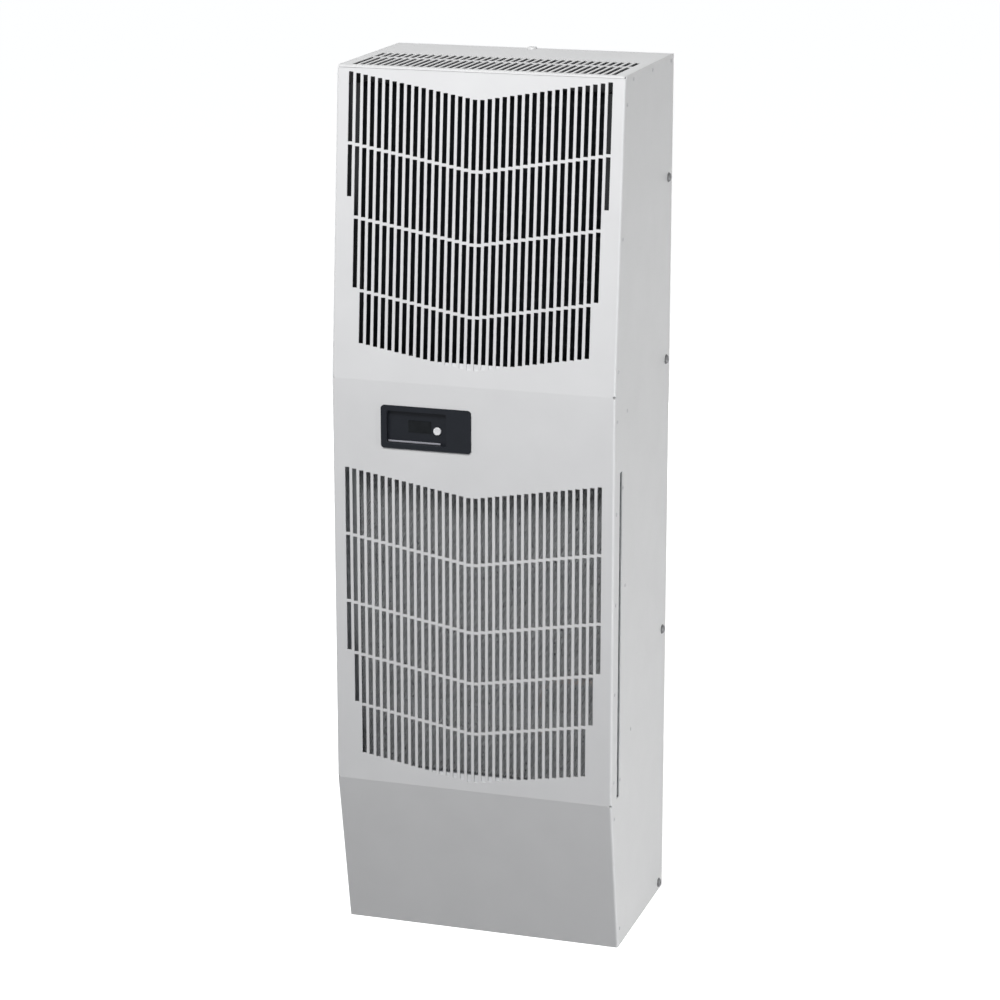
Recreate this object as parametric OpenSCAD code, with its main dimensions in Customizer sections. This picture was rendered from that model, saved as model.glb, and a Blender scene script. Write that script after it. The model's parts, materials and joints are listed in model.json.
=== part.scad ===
// Side-mounted cooling unit for an electrical enclosure.
// X runs across the front, Y runs from the front to the rear, Z runs up from the base.

/* [Case] */
// Height of the case
unit_h = 1321; // [1190:1:1450]
// Width of the case
unit_w = 431; // [390:1:480]
// Depth of the case where its front stands upright
unit_d = 308; // [280:1:340]
// Distance by which the top edge stands back from the front
top_set = 39.5; // [28:0.5:43]
// Distance by which the bottom edge stands back from the front
base_set = 46.5; // [30:0.5:52]
// Distance from the top down to the bend under the upper slope of the front
upper_bend_drop = 454; // [409:1:499]
// Height of the bend over the lower slope of the front
lower_bend_z = 244.5; // [228:0.5:245]

/* [Sheet metal] */
// Thickness of the case sheet
sheet_t = 1.5; // [1.2:0.1:1.6]
// Outside radius of a folded edge
corner_r = 3; // [2.5:0.5:4]
// Gap between two sheets that lap
seam_gap = 0.3; // [0.2:0.1:0.5]
// Straight lead between a folded edge and its joggle
corner_lead = 0.5; // [0.3:0.1:1]
// Length of the joggle that steps a flange inwards
joggle_l = 1.5; // [1:0.5:3]
// Distance from a face to the end of its inner flange
flange_d = 22; // [20:1:23]
// Depth of the strips that join the rear panel to the sides
rear_flange_d = 28; // [27:1:32]
// Height of the side flanges of the top panel
top_flange_h = 18; // [15:1:20]
// Lap of the top panel behind the front panel
top_lap = 4; // [3:0.5:5]

/* [Grilles] */
// Width of a slot
slot_w = 6.8; // [4:0.1:7.5]
// Distance from one slot to the next
slot_pitch = 11.08; // [10.9:0.02:11.3]
// Least distance from the sides of the case to the slot field
grille_side = 15; // [14:1:60]
// Height of a tall slot
tall_slot_h = 100.2; // [90:0.1:101]
// Height of a short slot
short_slot_h = 74.7; // [60:0.1:75]
// Height of the bar between two rows of slots
row_bar_h = 4.3; // [3:0.1:5]
// Share of the sideways distance by which the rows rise from the middle
vee_share = 0.172; // [0:0.002:0.18]
// Distance from the top down to the upper grille's top edge at the middle
upper_grille_drop = 42.3; // [42:0.1:45]
// Distance from the bezel down to the lower grille's top edge at the middle
lower_grille_drop = 67.8; // [58:0.1:77]
// Distance from the front edge of the top to its front row of slots
vent_front_d = 13; // [10:0.5:20]
// Length of the front row of top slots
vent_front_l = 87.5; // [60:0.5:90]
// Length of the rear row of top slots
vent_rear_l = 46; // [20:0.5:50]
// Bar between the two rows of top slots
vent_bar = 4.5; // [3:0.5:12]

/* [Controller] */
// Width of the bezel
bezel_w = 139; // [135:1:145]
// Height of the bezel
bezel_h = 64.5; // [60:0.5:70]
// Distance from the upper bend down to the bezel's lower edge
bezel_drop = 99.5; // [92:0.5:102]
// Distance from the middle of the front to the bezel's right edge
bezel_side = 0.7; // [0:0.1:10]
// How far the bezel stands proud of the front
bezel_t = 2; // [1.5:0.1:3]
// Corner radius of the bezel
bezel_r = 5.5; // [4:0.5:8]
// Depth of the recess below the bezel's face
recess_d = 7; // [5:0.5:9]
// Radius of the push button
button_r = 6; // [4:0.5:7]
// Travel of the push button
button_travel = 1.5; // [1:0.1:2]

/* [Filter] */
// Distance from the lower bend up to the filter slot in the right side panel
filter_slot_rise = 1.2; // [1.2:0.1:5.5]
// Distance from the filter slot up to the control box
filter_box_gap = 17.5; // [17:0.5:40]
// Width of the filter slot
filter_slot_w = 12.6; // [11:0.1:14]
// Distance from the upright front face to the filter slot
filter_slot_set = 31.6; // [29:0.1:34]
// Running gap round the filter
filter_gap = 0.5; // [0.3:0.1:1]
// Width of the filter frame's bars
filter_bar = 14; // [10:1:20]
// Thickness of the mesh pack
filter_media_t = 8; // [5:0.5:9]

/* [Coils] */
// Radius of the coil tubes
tube_r = 4.76; // [3.5:0.01:5]
// Distance between the tubes of a row
tube_pitch = 31.75; // [30:0.05:31.8]
// Distance between the two rows of tubes
tube_row_gap = 22; // [21:1:24]
// Thickness of a fin pack
fin_pack_t = 44; // [42:1:46]
// Least gap between the condenser and the roof, which decides its rows of tubes
coil_head = 20; // [12:1:60]
// Tubes in each row of the evaporator
evaporator_rows = 10; // [6:2:10]
// Lean of the evaporator towards the rear, in degrees
evaporator_lean = 9; // [6:1:10]

/* [Fans] */
// Distance from the top down to the condenser fan's axis
fan_drop = 240; // [231:1:246]
// Radius of the condenser fan over its blades
fan_r = 142; // [120:1:148]
// Blades of the condenser fan
fan_blades = 5; // [3:1:7]
// Distance from the top down to the blower's axis
blower_drop = 231; // [201:1:241]
// Radius of the blower wheel
blower_r = 105; // [95:1:110]
// Blades of the blower wheel
blower_blades = 9; // [6:1:11]
// Gap between a turning part and a fixed one
run_gap = 3; // [2:0.5:4]

/* [Rear] */
// Thickness of the gasket strips
gasket_t = 3; // [2:0.5:5]
// Width of the gasket strips
gasket_w = 16; // [12:1:20]
// Distance from the sides of the case to the mounting nuts
mount_side = 31.5; // [31:0.5:40]
// Distance from the ends of the case to the end mounting nuts
mount_end = 38.5; // [35.5:0.5:45.5]
// Radius of the mounting nuts' thread, at its minor diameter
mount_r = 3.4; // [3:0.1:4]
// Half the width of the air outlet
outlet_half = 150; // [120:1:160]
// Height of the air outlet's lower edge
outlet_z = 130; // [120:1:150]
// Height of the air outlet
outlet_h = 200; // [150:1:210]
// Clear depth between the partition and the rear panel
cold_d = 113.5; // [113:0.5:116]
// Thickness of the partition's foam
foam_t = 6; // [4:0.5:7]

/* [Compressor] */
// Clearance between the compressor and the partition
compressor_gap = 9.5; // [6:0.5:20]
// Height of the compressor's shell
compressor_h = 256; // [220:1:262]
// Radius of the suction line
suction_r = 6; // [5:0.5:7]
// Radius of the discharge line
discharge_r = 5; // [4:0.5:6]
// Radius of the liquid line
liquid_r = 4; // [3:0.5:4.5]

/* [Fasteners] */
// Radius of a rivet's head
rivet_head_r = 3; // [2.5:0.1:3.5]
// Radius of a rivet's shank
rivet_r = 1.6; // [1.2:0.1:2]
// Radius of a side bolt's head
bolt_head_r = 6.5; // [5:0.5:8]
// Radius of a side bolt's shank
bolt_r = 3; // [2.5:0.1:4]
// Distance between the rivets along the upper and lower slopes
slope_rivet_pitch = 189; // [150:1:189]
// Distance between the rivets along the upright front
upright_rivet_pitch = 137.7; // [120:0.1:138]

/* [Hidden] */
$fn = 48;

// Overrun of every cut past the faces that it opens
over = 2;
// Thickness of the thin parts that touch nothing hot
thin_t = 1;

// Planes of the case
front_y = bezel_t - (unit_d + gasket_t + bezel_t) / 2;
back_y = front_y + unit_d;
back_in_y = back_y - sheet_t;
top_y = front_y + top_set;
base_y = front_y + base_set;
half_w = unit_w / 2;
inner_w = half_w - sheet_t;
flange_w = inner_w - seam_gap;
core_w = flange_w - sheet_t - seam_gap;
roof_z = unit_h - sheet_t;
upper_bend_z = unit_h - upper_bend_drop;
upper_angle = atan2(top_y - front_y, unit_h - upper_bend_z);
lower_angle = atan2(base_y - front_y, lower_bend_z);
// Front edge of the side panels behind the front face
side_set = corner_r + corner_lead + joggle_l;
// Depth of the front face at a height
function face_y(z) = z > upper_bend_z ? front_y + (z - upper_bend_z) * tan(upper_angle)
    : z < lower_bend_z ? front_y + (lower_bend_z - z) * tan(lower_angle) : front_y;

// Partition and enclosure side
partition_back_y = back_in_y - cold_d;
partition_y = partition_back_y - sheet_t;
foam_y = partition_back_y + foam_t;
foam_edge = 7;
foam_drop = 12;
foam_half = core_w - foam_edge;

// Filter and its rails
filter_y = front_y + filter_slot_set;
filter_back_y = filter_y + filter_slot_w;
filter_slot_z = lower_bend_z + filter_slot_rise;
rail_lip = 12;
rail_floor_z = filter_slot_z - sheet_t;
lower_deck_z = rail_floor_z - seam_gap - sheet_t;
side_rail_y = filter_back_y + seam_gap + sheet_t + seam_gap;
side_rail_d = 26;
side_rail_leg = 16;
filter_end_gap = 10;
filter_sunk = 3.5;
filter_left_x = -core_w + filter_end_gap;
filter_right_x = half_w - filter_sunk;
lower_lip_h = 27.3;
lower_lip_z = lower_deck_z + lower_lip_h;

// Upper baffle and electrical space
deck_rise = 3;
deck_flange_h = 10;
upper_lip_h = 30.2;
air_gap = 48;
upper_deck_z = upper_bend_z + deck_rise;
upper_lip_z = upper_deck_z + upper_lip_h;
baffle_back_y = partition_y - air_gap;
box_top_z = upper_deck_z - seam_gap;
box_h = 104;
box_set = 43;
box_y = front_y + box_set;
box_d = 72;
box_z = box_top_z - box_h;
lid_gap = 0.3;
filter_top_z = box_z - filter_box_gap;

// Controller, seen from the front
bezel_x = -bezel_side - bezel_w;
bezel_z = upper_bend_z - bezel_drop;
bezel_y = front_y - bezel_t;
recess_in_x = 9.1;
recess_in_z = 8;
recess_left = bezel_x + recess_in_x;
recess_w = 92;
recess_low = bezel_z + recess_in_z;
recess_h = 48.5;
recess_r = 2;
recess_y = bezel_y + recess_d;
bezel_floor_t = 2;
bezel_lip = 5;
display_in_x = 40.9;
display_in_z = 24.8;
display_x = bezel_x + display_in_x;
display_w = 34.7;
display_z = bezel_z + display_in_z;
display_h = 17.7;
display_t = 1;
button_in_x = 85.4;
button_in_z = 28.8;
button_x = bezel_x + button_in_x;
button_z = bezel_z + button_in_z;
button_proud = 2.2;
button_gap = 0.3;
stem_r = 3;
ledge_t = 2.5;
ledge_h = 2.9;
ledge_w = 81;
trim_gap = 0.1;
ledge_gap = recess_r * (1 - cos(45)) + trim_gap;
body_d = 30;
bezel_back_y = recess_y + bezel_floor_t;

// Condenser and its fan
coil_set = 47.5;
coil_rise = 6;
bend_space = 28;
coil_y = front_y + coil_set;
coil_back_y = coil_y + fin_pack_t;
coil_z = upper_deck_z + sheet_t + coil_rise;
coil_space = roof_z - coil_head - coil_z;
condenser_rows = 2 * floor((coil_space / tube_pitch - 1) / 2) + 1;
condenser_h = condenser_rows * tube_pitch;
coil_half = core_w - bend_space;
plate_gap = 0.2;
shroud_gap = 6;
shroud_y = coil_back_y + shroud_gap;
shroud_back_y = shroud_y + sheet_t;
shroud_ring_l = 34;
fan_set = 5;
fan_y = shroud_back_y + fan_set;
fan_z = unit_h - fan_drop;
fan_l = 28;
hub_nose = 2;
hub_face_t = 4;
hub_wall = 3;
hub_r = 44;
fan_blade_t = 2;
fan_blade_pitch = 33;
fan_orifice_r = fan_r + run_gap;
bracket_gap = 4;
bracket_y = shroud_back_y + shroud_ring_l + bracket_gap;
bracket_t = 2;
fan_motor_r = 40;
motor_end_gap = 9.5;
fan_motor_l = partition_y - motor_end_gap - bracket_y - bracket_t;
motor_cap_l = 8;
motor_pad = 4;
shaft_short = 1.5;
shaft_in = fan_motor_l / 2 - shaft_short;
shaft_end_gap = 4;
shaft_r = 5;
shaft_gap = 0.05;
bracket_arms = 4;
arm_w = 16;
post_r = 3.5;
post_gap = 5;
post_ring_r = fan_orifice_r + sheet_t + post_r + post_gap;

// Evaporator and blower
evap_gap = 5.5;
evap_y = foam_y + evap_gap;
evap_z = 442;
evap_h = evaporator_rows * tube_pitch;
pan_drop = 37;
pan_z = evap_z - pan_drop;
pan_h = 26;
pan_gap = 0.5;
pan_front_y = foam_y + pan_gap;
pan_d = 60;
pan_side = 5;
pan_half = coil_half + pan_side;
blower_z = unit_h - blower_drop;
wheel_set = 22;
wheel_y = foam_y + wheel_set;
wheel_plate_t = 2;
rotor_r = 46;
rotor_l = 36;
rotor_face_t = 6;
rotor_wall = 8;
wheel_lap = 4;
blade_root = 14;
blade_at = [56, 26];
blade_curve_r = 56;
eye_r = 68;
ring_mouth_r = 92;
ring_flange_r = 104;
ring_y = back_in_y - seam_gap - sheet_t;
ring_curve = ring_mouth_r - eye_r;
ring_tip_l = 5.7;
wheel_end_y = ring_y + sheet_t - ring_curve - ring_tip_l + wheel_plate_t / 4;
motor_body_l = 12;
motor_face_y = foam_y + motor_body_l;
blower_motor_r = 44;
blower_shaft_r = 4;
blower_shaft_in = 8;
guard_wire_r = 1;
guard_spoke_r = 1.3;
guard_slack = 0.1;

// Refrigerant lines
accumulator_side = 53.9;
accumulator_x = core_w - accumulator_side;
accumulator_r = 24;
accumulator_h = 165;
shell_gap = 6;
compressor_front_gap = 19.5;
compressor_r = (partition_y - compressor_gap - base_y - compressor_front_gap) / 2;
compressor_x = accumulator_x - accumulator_r - shell_gap - compressor_r;
compressor_y = partition_y - compressor_gap - compressor_r;
foot_h = 14;
foot_z = sheet_t + foot_h;
foot_plate_t = 3;
compressor_z = foot_z + foot_plate_t;
riser_side = 43.9;
riser_x = core_w - riser_side;
riser_gap = 15;
riser_y = partition_y - riser_gap;
stub_l = 6;
gas_l = 16;
cold_l = 18;
liquid_l = 19;
stub_x = coil_half + stub_l;
gas_x = coil_half + gas_l;
drier_side = 21.9;
drier_x = core_w - drier_side;
drier_gap = 41;
drier_y = partition_y - drier_gap;
drier_r = 16;
elbow_r = 9;
liquid_elbow_r = 5;
liquid_wall = 1;
cold_x = coil_half + cold_l;
liquid_pass_drop = 27;
liquid_pass_z = evap_z - liquid_pass_drop;
suction_pass_drop = 62;
suction_pass_z = evap_z - suction_pass_drop;
gas_lift_drop = 70;
gas_lift_z = evap_z - gas_lift_drop;

// Rows of slots: height, and the first column that the row holds
slot_columns = 2 * floor((half_w - grille_side) / slot_pitch);
upper_grille_z = unit_h - upper_grille_drop;
lower_grille_z = bezel_z - lower_grille_drop;
row_foot = 13;
short_space = lower_grille_z - lower_bend_z - row_foot - 2 * tall_slot_h - row_bar_h;
short_rows = floor(short_space / (short_slot_h + row_bar_h));
upper_rows = [[tall_slot_h, 0], [tall_slot_h, 0], [tall_slot_h, 1], [short_slot_h, 2]];
lower_rows = concat(
    [[tall_slot_h, 0], [tall_slot_h, 0]],
    [for (k = [1:1:short_rows]) [short_slot_h, max(0, k + 2 - short_rows)]]
);

// Rivets of the sides, as depth and height
rivet_set = 15;
upper_rivet_drop = 41.5;
upright_rivet_drop = 39;
lower_rivet_drop = 27;
top_rivet_drop = 9;
top_rivet_pitch = 105;
// Heights of rivets from one place down, as far as another
function rivet_row(top_z, low_z, pitch) = [for (k = [0:1:floor((top_z - low_z) / pitch)]) top_z - k * pitch];
edge_rivet_z = concat(
    rivet_row(unit_h - upper_rivet_drop, upper_bend_z + rivet_set, slope_rivet_pitch),
    rivet_row(upper_bend_z - upright_rivet_drop, lower_bend_z + rivet_set, upright_rivet_pitch),
    rivet_row(lower_bend_z - lower_rivet_drop, rivet_set, slope_rivet_pitch)
);
edge_rivets = [for (z = edge_rivet_z) [face_y(z) + rivet_set, z]];
top_rivet_y = rivet_row(back_y - rivet_set, top_y + 2 * rivet_set, top_rivet_pitch);
top_rivets = [for (y = top_rivet_y) [y, unit_h - top_rivet_drop]];
rail_rivet_near = 2.5;
rail_rivet_far = 20;
rail_rivet_drop = 26;
rail_rivet_rise = 24.7;
rail_rivet_mid = 323;
rail_rivets = [
    [side_rail_y + rail_rivet_near, filter_top_z - rail_rivet_drop],
    [side_rail_y + rail_rivet_near, filter_slot_z + rail_rivet_rise],
    [side_rail_y + rail_rivet_far, filter_slot_z + rail_rivet_mid]
];
box_rivet_in = 25;
box_rivet_drop = 37;
box_rivets = [[box_y + box_rivet_in, box_top_z - box_rivet_drop]];
brace_z = 319;
brace_h = 24;
brace_gap = 29;
brace_y = compressor_y - brace_gap;
brace_d = 20;
brace_rivet_in = 12;
brace_rivets = [[brace_y + brace_rivet_in, brace_z + brace_h / 2]];
inner_rivets = concat(rail_rivets, box_rivets, brace_rivets);
rivet_places = concat(edge_rivets, top_rivets, inner_rivets);
hole_gap = 0.15;

// Bolts of the sides, as heights, at one depth
bolt_set = 21;
bolt_drops = [181.3, 459.1];
bolt_rises = [433.7, 12.4];
bolt_y = back_y - bolt_set;
bolt_heights = concat([for (drop = bolt_drops) unit_h - drop], bolt_rises);

// Helpers
module block(low, high) translate(low) cube(high - low);
module rod_x(x0, x1, r) translate([x0, 0, 0]) rotate([0, 90, 0]) cylinder(r = r, h = x1 - x0);
module rod_y(y0, y1, r) translate([0, y0, 0]) rotate([-90, 0, 0]) cylinder(r = r, h = y1 - y0);
module both_sides() {
    children();
    mirror([1, 0, 0]) children();
}
// A shape drawn as depth and height, spread evenly to both sides
module spread(half) translate([-half, 0, 0]) rotate([90, 0, 90]) linear_extrude(2 * half) children();
// A shape drawn as width and height, from one depth to another
module upright(y0, y1) translate([0, y1, 0]) rotate([90, 0, 0]) linear_extrude(y1 - y0) children();
module soft_rect(w, h, r) {
    translate([r, 0]) square([w - 2 * r, h]);
    translate([0, r]) square([w, h - 2 * r]);
    for (x = [r, w - r], y = [r, h - r]) translate([x, y]) circle(r);
}
function unit(v) = v / norm(v);
// Wall of an elbow outside its pipe, and how far the pipe goes in
fitting_t = 0.3;
fitting_lap = 1;
// A pipe of straight runs and square elbows through a list of points
module pipe(points, r, elbow) {
    last = len(points) - 1;
    for (i = [0:last - 1]) {
        way = unit(points[i + 1] - points[i]);
        set_in = i > 0 ? elbow - fitting_lap : 0;
        set_out = i + 1 < last ? elbow - fitting_lap : 0;
        translate(points[i] + set_in * way) rotate([0, acos(way[2]), atan2(way[1], way[0])])
            cylinder(r = r, h = norm(points[i + 1] - points[i]) - set_in - set_out);
    }
    if (last > 1) for (i = [1:last - 1]) {
        way_in = unit(points[i] - points[i - 1]);
        way_out = unit(points[i + 1] - points[i]);
        axis = cross(way_in, way_out);
        centre = points[i] + elbow * (way_out - way_in);
        multmatrix([
            [-way_out[0], way_in[0], axis[0], centre[0]],
            [-way_out[1], way_in[1], axis[1], centre[1]],
            [-way_out[2], way_in[2], axis[2], centre[2]],
            [0, 0, 0, 1]
        ]) rotate_extrude(angle = 90) translate([elbow, 0]) circle(r + fitting_t, $fn = 32);
    }
}

// Front panel: the front edge at a distance behind its face, from the base up
upper_face_l = norm([top_y - front_y, unit_h - upper_bend_z]);
fold_tangent = corner_r * tan((90 - upper_angle) / 2);
front_end_l = upper_face_l - fold_tangent - corner_lead - seam_gap;
function edge_line(d, extra) = [
    [base_y + d / cos(lower_angle) + extra * tan(lower_angle), -extra],
    [front_y + d, lower_bend_z + d * tan(lower_angle / 2)],
    [front_y + d, upper_bend_z - d * tan(upper_angle / 2)],
    [
        front_y + (front_end_l + extra) * sin(upper_angle) + d * cos(upper_angle),
        upper_bend_z + (front_end_l + extra) * cos(upper_angle) - d * sin(upper_angle)
    ]
];
function backwards(points) = [for (i = [len(points) - 1:-1:0]) points[i]];
module edge_band(d0, d1, extra) polygon(concat(edge_line(d0, extra), backwards(edge_line(d1, extra))));
// A block with rounded front corners, set behind the face
module front_block(half, r, set) {
    translate([-half + r, set]) square([2 * (half - r), unit_d]);
    translate([-half, set + r]) square([2 * half, unit_d]);
    for (x = [-half + r, half - r]) translate([x, set + r]) circle(r);
}
module faced_block(half, r, set) intersection() {
    translate([0, front_y, -over]) linear_extrude(unit_h + over) front_block(half, r, set);
    translate([0, front_y, upper_bend_z]) rotate([-upper_angle, 0, 0])
        translate([0, 0, -unit_h]) linear_extrude(2 * unit_h) front_block(half, r, set);
    translate([0, front_y, lower_bend_z]) rotate([lower_angle, 0, 0])
        translate([0, 0, -unit_h]) linear_extrude(3 * unit_h) front_block(half, r, set);
}
module front_shell() {
    difference() {
        intersection() {
            faced_block(half_w, corner_r, 0);
            spread(unit_w) edge_band(-over, side_set, 0);
        }
        intersection() {
            faced_block(inner_w, corner_r - sheet_t, sheet_t);
            union() {
                spread(unit_w) edge_band(-over, side_set - joggle_l, over);
                spread(flange_w - sheet_t) edge_band(-over, side_set + over, over);
            }
        }
    }
    both_sides() translate([flange_w - sheet_t, 0, 0]) rotate([90, 0, 90])
        linear_extrude(sheet_t) edge_band(side_set - joggle_l / 2, flange_d, 0);
}
// Sideways place of a column, and the top of a slot in it
function column_x(i) = (i - (slot_columns - 1) / 2) * slot_pitch;
function rows_above(rows, k) = k == 0 ? 0 : rows[k - 1][0] + row_bar_h + rows_above(rows, k - 1);
module slot_sheet(rows, top_z, outer_short) {
    for (k = [0:len(rows) - 1], i = [rows[k][1]:slot_columns - 1 - rows[k][1]]) {
        edge_column = i == 0 || i == slot_columns - 1;
        h = edge_column && k == outer_short ? short_slot_h : rows[k][0];
        z = top_z + vee_share * abs(column_x(i)) - rows_above(rows, k);
        translate([column_x(i) - slot_w / 2, z - h]) square([slot_w, h]);
    }
}
// Reach of the relief holes past the corner's bend, where the three faces meet
relief_over = 0.4;
bezel_body_gap = 0.5;
bezel_hole_in = bezel_lip - bezel_body_gap;
module front_panel() color("#dcdee0") {
    difference() {
        union() {
            front_shell();
            block(
                [-core_w + flange_d, base_y + sheet_t / 2, 0],
                [core_w - flange_d, base_y + flange_d, sheet_t]
            );
        }
        upright(front_y - over, top_y + 3 * sheet_t) {
            slot_sheet(upper_rows, upper_grille_z, 1);
            slot_sheet(lower_rows, lower_grille_z, -1);
        }
        upright(front_y - over, front_y + sheet_t + over)
            translate([bezel_x + bezel_hole_in, bezel_z + bezel_hole_in])
            square([bezel_w - 2 * bezel_hole_in, bezel_h - 2 * bezel_hole_in]);
        rivet_holes(edge_rivets);
        for (z = [lower_bend_z, upper_bend_z]) both_sides() translate([half_w - corner_r / 2, 0, z])
            rod_y(front_y - over, front_y + corner_r + thin_t, corner_r / 2 + relief_over);
    }
}
module rivet_holes(places) {
    for (place = places) both_sides() translate([0, place[0], place[1]])
        rod_x(core_w, half_w + over, rivet_r + hole_gap);
}

// Top panel, with its front edge folded down onto the slope of the front
fold_turn = 90 - upper_angle;
fold_steps = 8;
fold_centre = [top_y + corner_r * (1 - sin(upper_angle)) / cos(upper_angle), unit_h - corner_r];
function fold_angle(k) = k * fold_turn / fold_steps;
function fold_arc(r, k) = fold_centre + r * [-sin(fold_angle(k)), cos(fold_angle(k))];
// A point along the slope past the bend, and how far it lies under the outside
function fold_point(along, under) = fold_arc(corner_r, fold_steps)
    + along * [-sin(upper_angle), -cos(upper_angle)] + under * [cos(upper_angle), -sin(upper_angle)];
module top_section() polygon(concat(
    [[back_y, unit_h]],
    [for (k = [0:fold_steps]) fold_arc(corner_r, k)],
    [fold_point(corner_lead, 0), fold_point(corner_lead, sheet_t)],
    [for (k = [fold_steps:-1:0]) fold_arc(corner_r - sheet_t, k)],
    [[back_y, roof_z]]
));
// Strip that backs the fold and laps behind the front panel
module top_lap_section() {
    step = sheet_t + seam_gap;
    end = corner_lead + seam_gap + top_lap;
    polygon([
        fold_point(-sheet_t / 2, sheet_t * 3 / 4),
        fold_point(corner_lead / 2, sheet_t * 3 / 4),
        fold_point(corner_lead / 2, step),
        fold_point(end, step),
        fold_point(end, step + sheet_t),
        fold_point(-sheet_t / 2, step + sheet_t)
    ]);
}
module top_panel() color("#d9dada") {
    difference() {
        union() {
            spread(flange_w) top_section();
            spread(core_w - seam_gap) top_lap_section();
            both_sides() block(
                [flange_w - sheet_t, top_y + flange_d + 3 * sheet_t, unit_h - top_flange_h],
                [flange_w, back_in_y - seam_gap, roof_z + sheet_t / 2]
            );
        }
        for (i = [0:slot_columns - 1])
            translate([column_x(i) - slot_w / 2, top_y + vent_front_d, roof_z - over]) {
                cube([slot_w, vent_front_l, sheet_t + 2 * over]);
                translate([0, vent_front_l + vent_bar, 0]) cube([slot_w, vent_rear_l, sheet_t + 2 * over]);
            }
        rivet_holes(top_rivets);
        translate([0, insert_y, roof_z - over]) cylinder(r = insert_r + hole_gap, h = sheet_t + 2 * over);
    }
}
insert_set = 12;
insert_y = back_y - insert_set;
insert_r = 5.5;
insert_head_r = 7.5;
insert_head_h = 3;
insert_thread_r = 3.4;
insert_l = 14;
module lifting_insert() color("#d0d2d3") translate([0, insert_y, unit_h]) {
    difference() {
        union() {
            cylinder(r1 = insert_head_r, r2 = insert_head_r - thin_t, h = insert_head_h);
            translate([0, 0, -insert_l]) cylinder(r = insert_r, h = insert_l + insert_head_h / 2);
        }
        translate([0, 0, -insert_l - over])
            cylinder(r = insert_thread_r, h = insert_l + insert_head_h + 2 * over);
    }
}

// Side panels
module side_sheet() {
    half_up = tan(upper_angle / 2);
    half_low = tan(lower_angle / 2);
    translate([inner_w, 0, 0]) rotate([90, 0, 90]) linear_extrude(sheet_t) polygon([
        [back_y, 0],
        [back_y, unit_h],
        [top_y + side_set / cos(upper_angle), unit_h],
        [front_y + side_set, upper_bend_z - side_set * half_up],
        [front_y + side_set, lower_bend_z + side_set * half_low],
        [base_y + side_set / cos(lower_angle), 0]
    ]);
}
module bolt_holes() {
    for (z = bolt_heights) both_sides() translate([0, bolt_y, z])
        rod_x(core_w, half_w + over, bolt_r + hole_gap);
}
module left_side_panel() color("#cfd0d0") difference() {
    mirror([1, 0, 0]) side_sheet();
    rivet_holes(rivet_places);
    bolt_holes();
}
module right_side_panel() color("#cacbcc") difference() {
    side_sheet();
    rivet_holes(rivet_places);
    bolt_holes();
    block([core_w, filter_y, filter_slot_z], [half_w + over, filter_back_y, filter_top_z]);
}

// Rear panel, open at the air inlet and the air outlet
nut_r = 5.5;
module nut_places() {
    for (x = [-1, 1], z = [-1, 0, 1])
        translate([x * (half_w - mount_side), back_y, unit_h / 2 + z * (unit_h / 2 - mount_end)]) children();
}
gland_side = 65.5;
gland_x = gland_side - half_w;
gland_rise = 40.5;
gland_z = evap_z + evap_h + gland_rise;
gland_r = 10;
module rear_panel() color("#c4c6c7") difference() {
    block([-flange_w, back_in_y, 0], [flange_w, back_y, roof_z - seam_gap]);
    block([-outlet_half, back_in_y - over, outlet_z], [outlet_half, back_y + over, outlet_z + outlet_h]);
    translate([0, 0, blower_z]) rod_y(back_in_y - over, back_y + over, ring_mouth_r);
    nut_places() rod_y(-sheet_t - over, over, nut_r + hole_gap);
    translate([gland_x, 0, gland_z]) rod_y(back_in_y - over, back_y + over, gland_r + hole_gap);
    guard_feet() rod_y(back_in_y - over, back_y + over, rivet_r + hole_gap);
}
// Strips that join the rear panel to the sides
module rear_strips() color("#bfc1c2") difference() {
    both_sides() block(
        [flange_w - sheet_t, back_y - rear_flange_d, sheet_t + seam_gap],
        [flange_w, back_in_y, unit_h - top_flange_h - seam_gap]
    );
    bolt_holes();
}
nut_flange_r = 8;
nut_flange_t = 1;
nut_l = 16;
module mounting_nuts() color("#b9bcbe") nut_places() difference() {
    union() {
        rod_y(0, nut_flange_t, nut_flange_r);
        rod_y(-nut_l, nut_flange_t / 2, nut_r);
    }
    rod_y(-nut_l - over, nut_flange_t + over, mount_r);
}
gasket_edge = 3;
module gasket() color("#2b2d2f") {
    x1 = flange_w - gasket_edge;
    z0 = gasket_edge;
    z1 = roof_z - gasket_edge;
    for (x = [-x1, x1 - gasket_w]) block([x, back_y, z0], [x + gasket_w, back_y + gasket_t, z1]);
    for (z = [z0, z1 - gasket_w])
        block([-x1 + gasket_w, back_y, z], [x1 - gasket_w, back_y + gasket_t, z + gasket_w]);
}
gland_flange_r = 14;
gland_bore_r = 6;
gland_out = 2.5;
gland_in = 24;
gland_nut_t = 6;
module cable_gland() color("#3a3c3e") translate([gland_x, back_y, gland_z]) difference() {
    union() {
        rod_y(0, gland_out, gland_flange_r);
        rod_y(-gland_in, gland_out / 2, gland_r);
        rod_y(-sheet_t - seam_gap - gland_nut_t, -sheet_t - seam_gap, gland_flange_r);
    }
    rod_y(-gland_in - over, gland_out + over, gland_bore_r);
}

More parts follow.
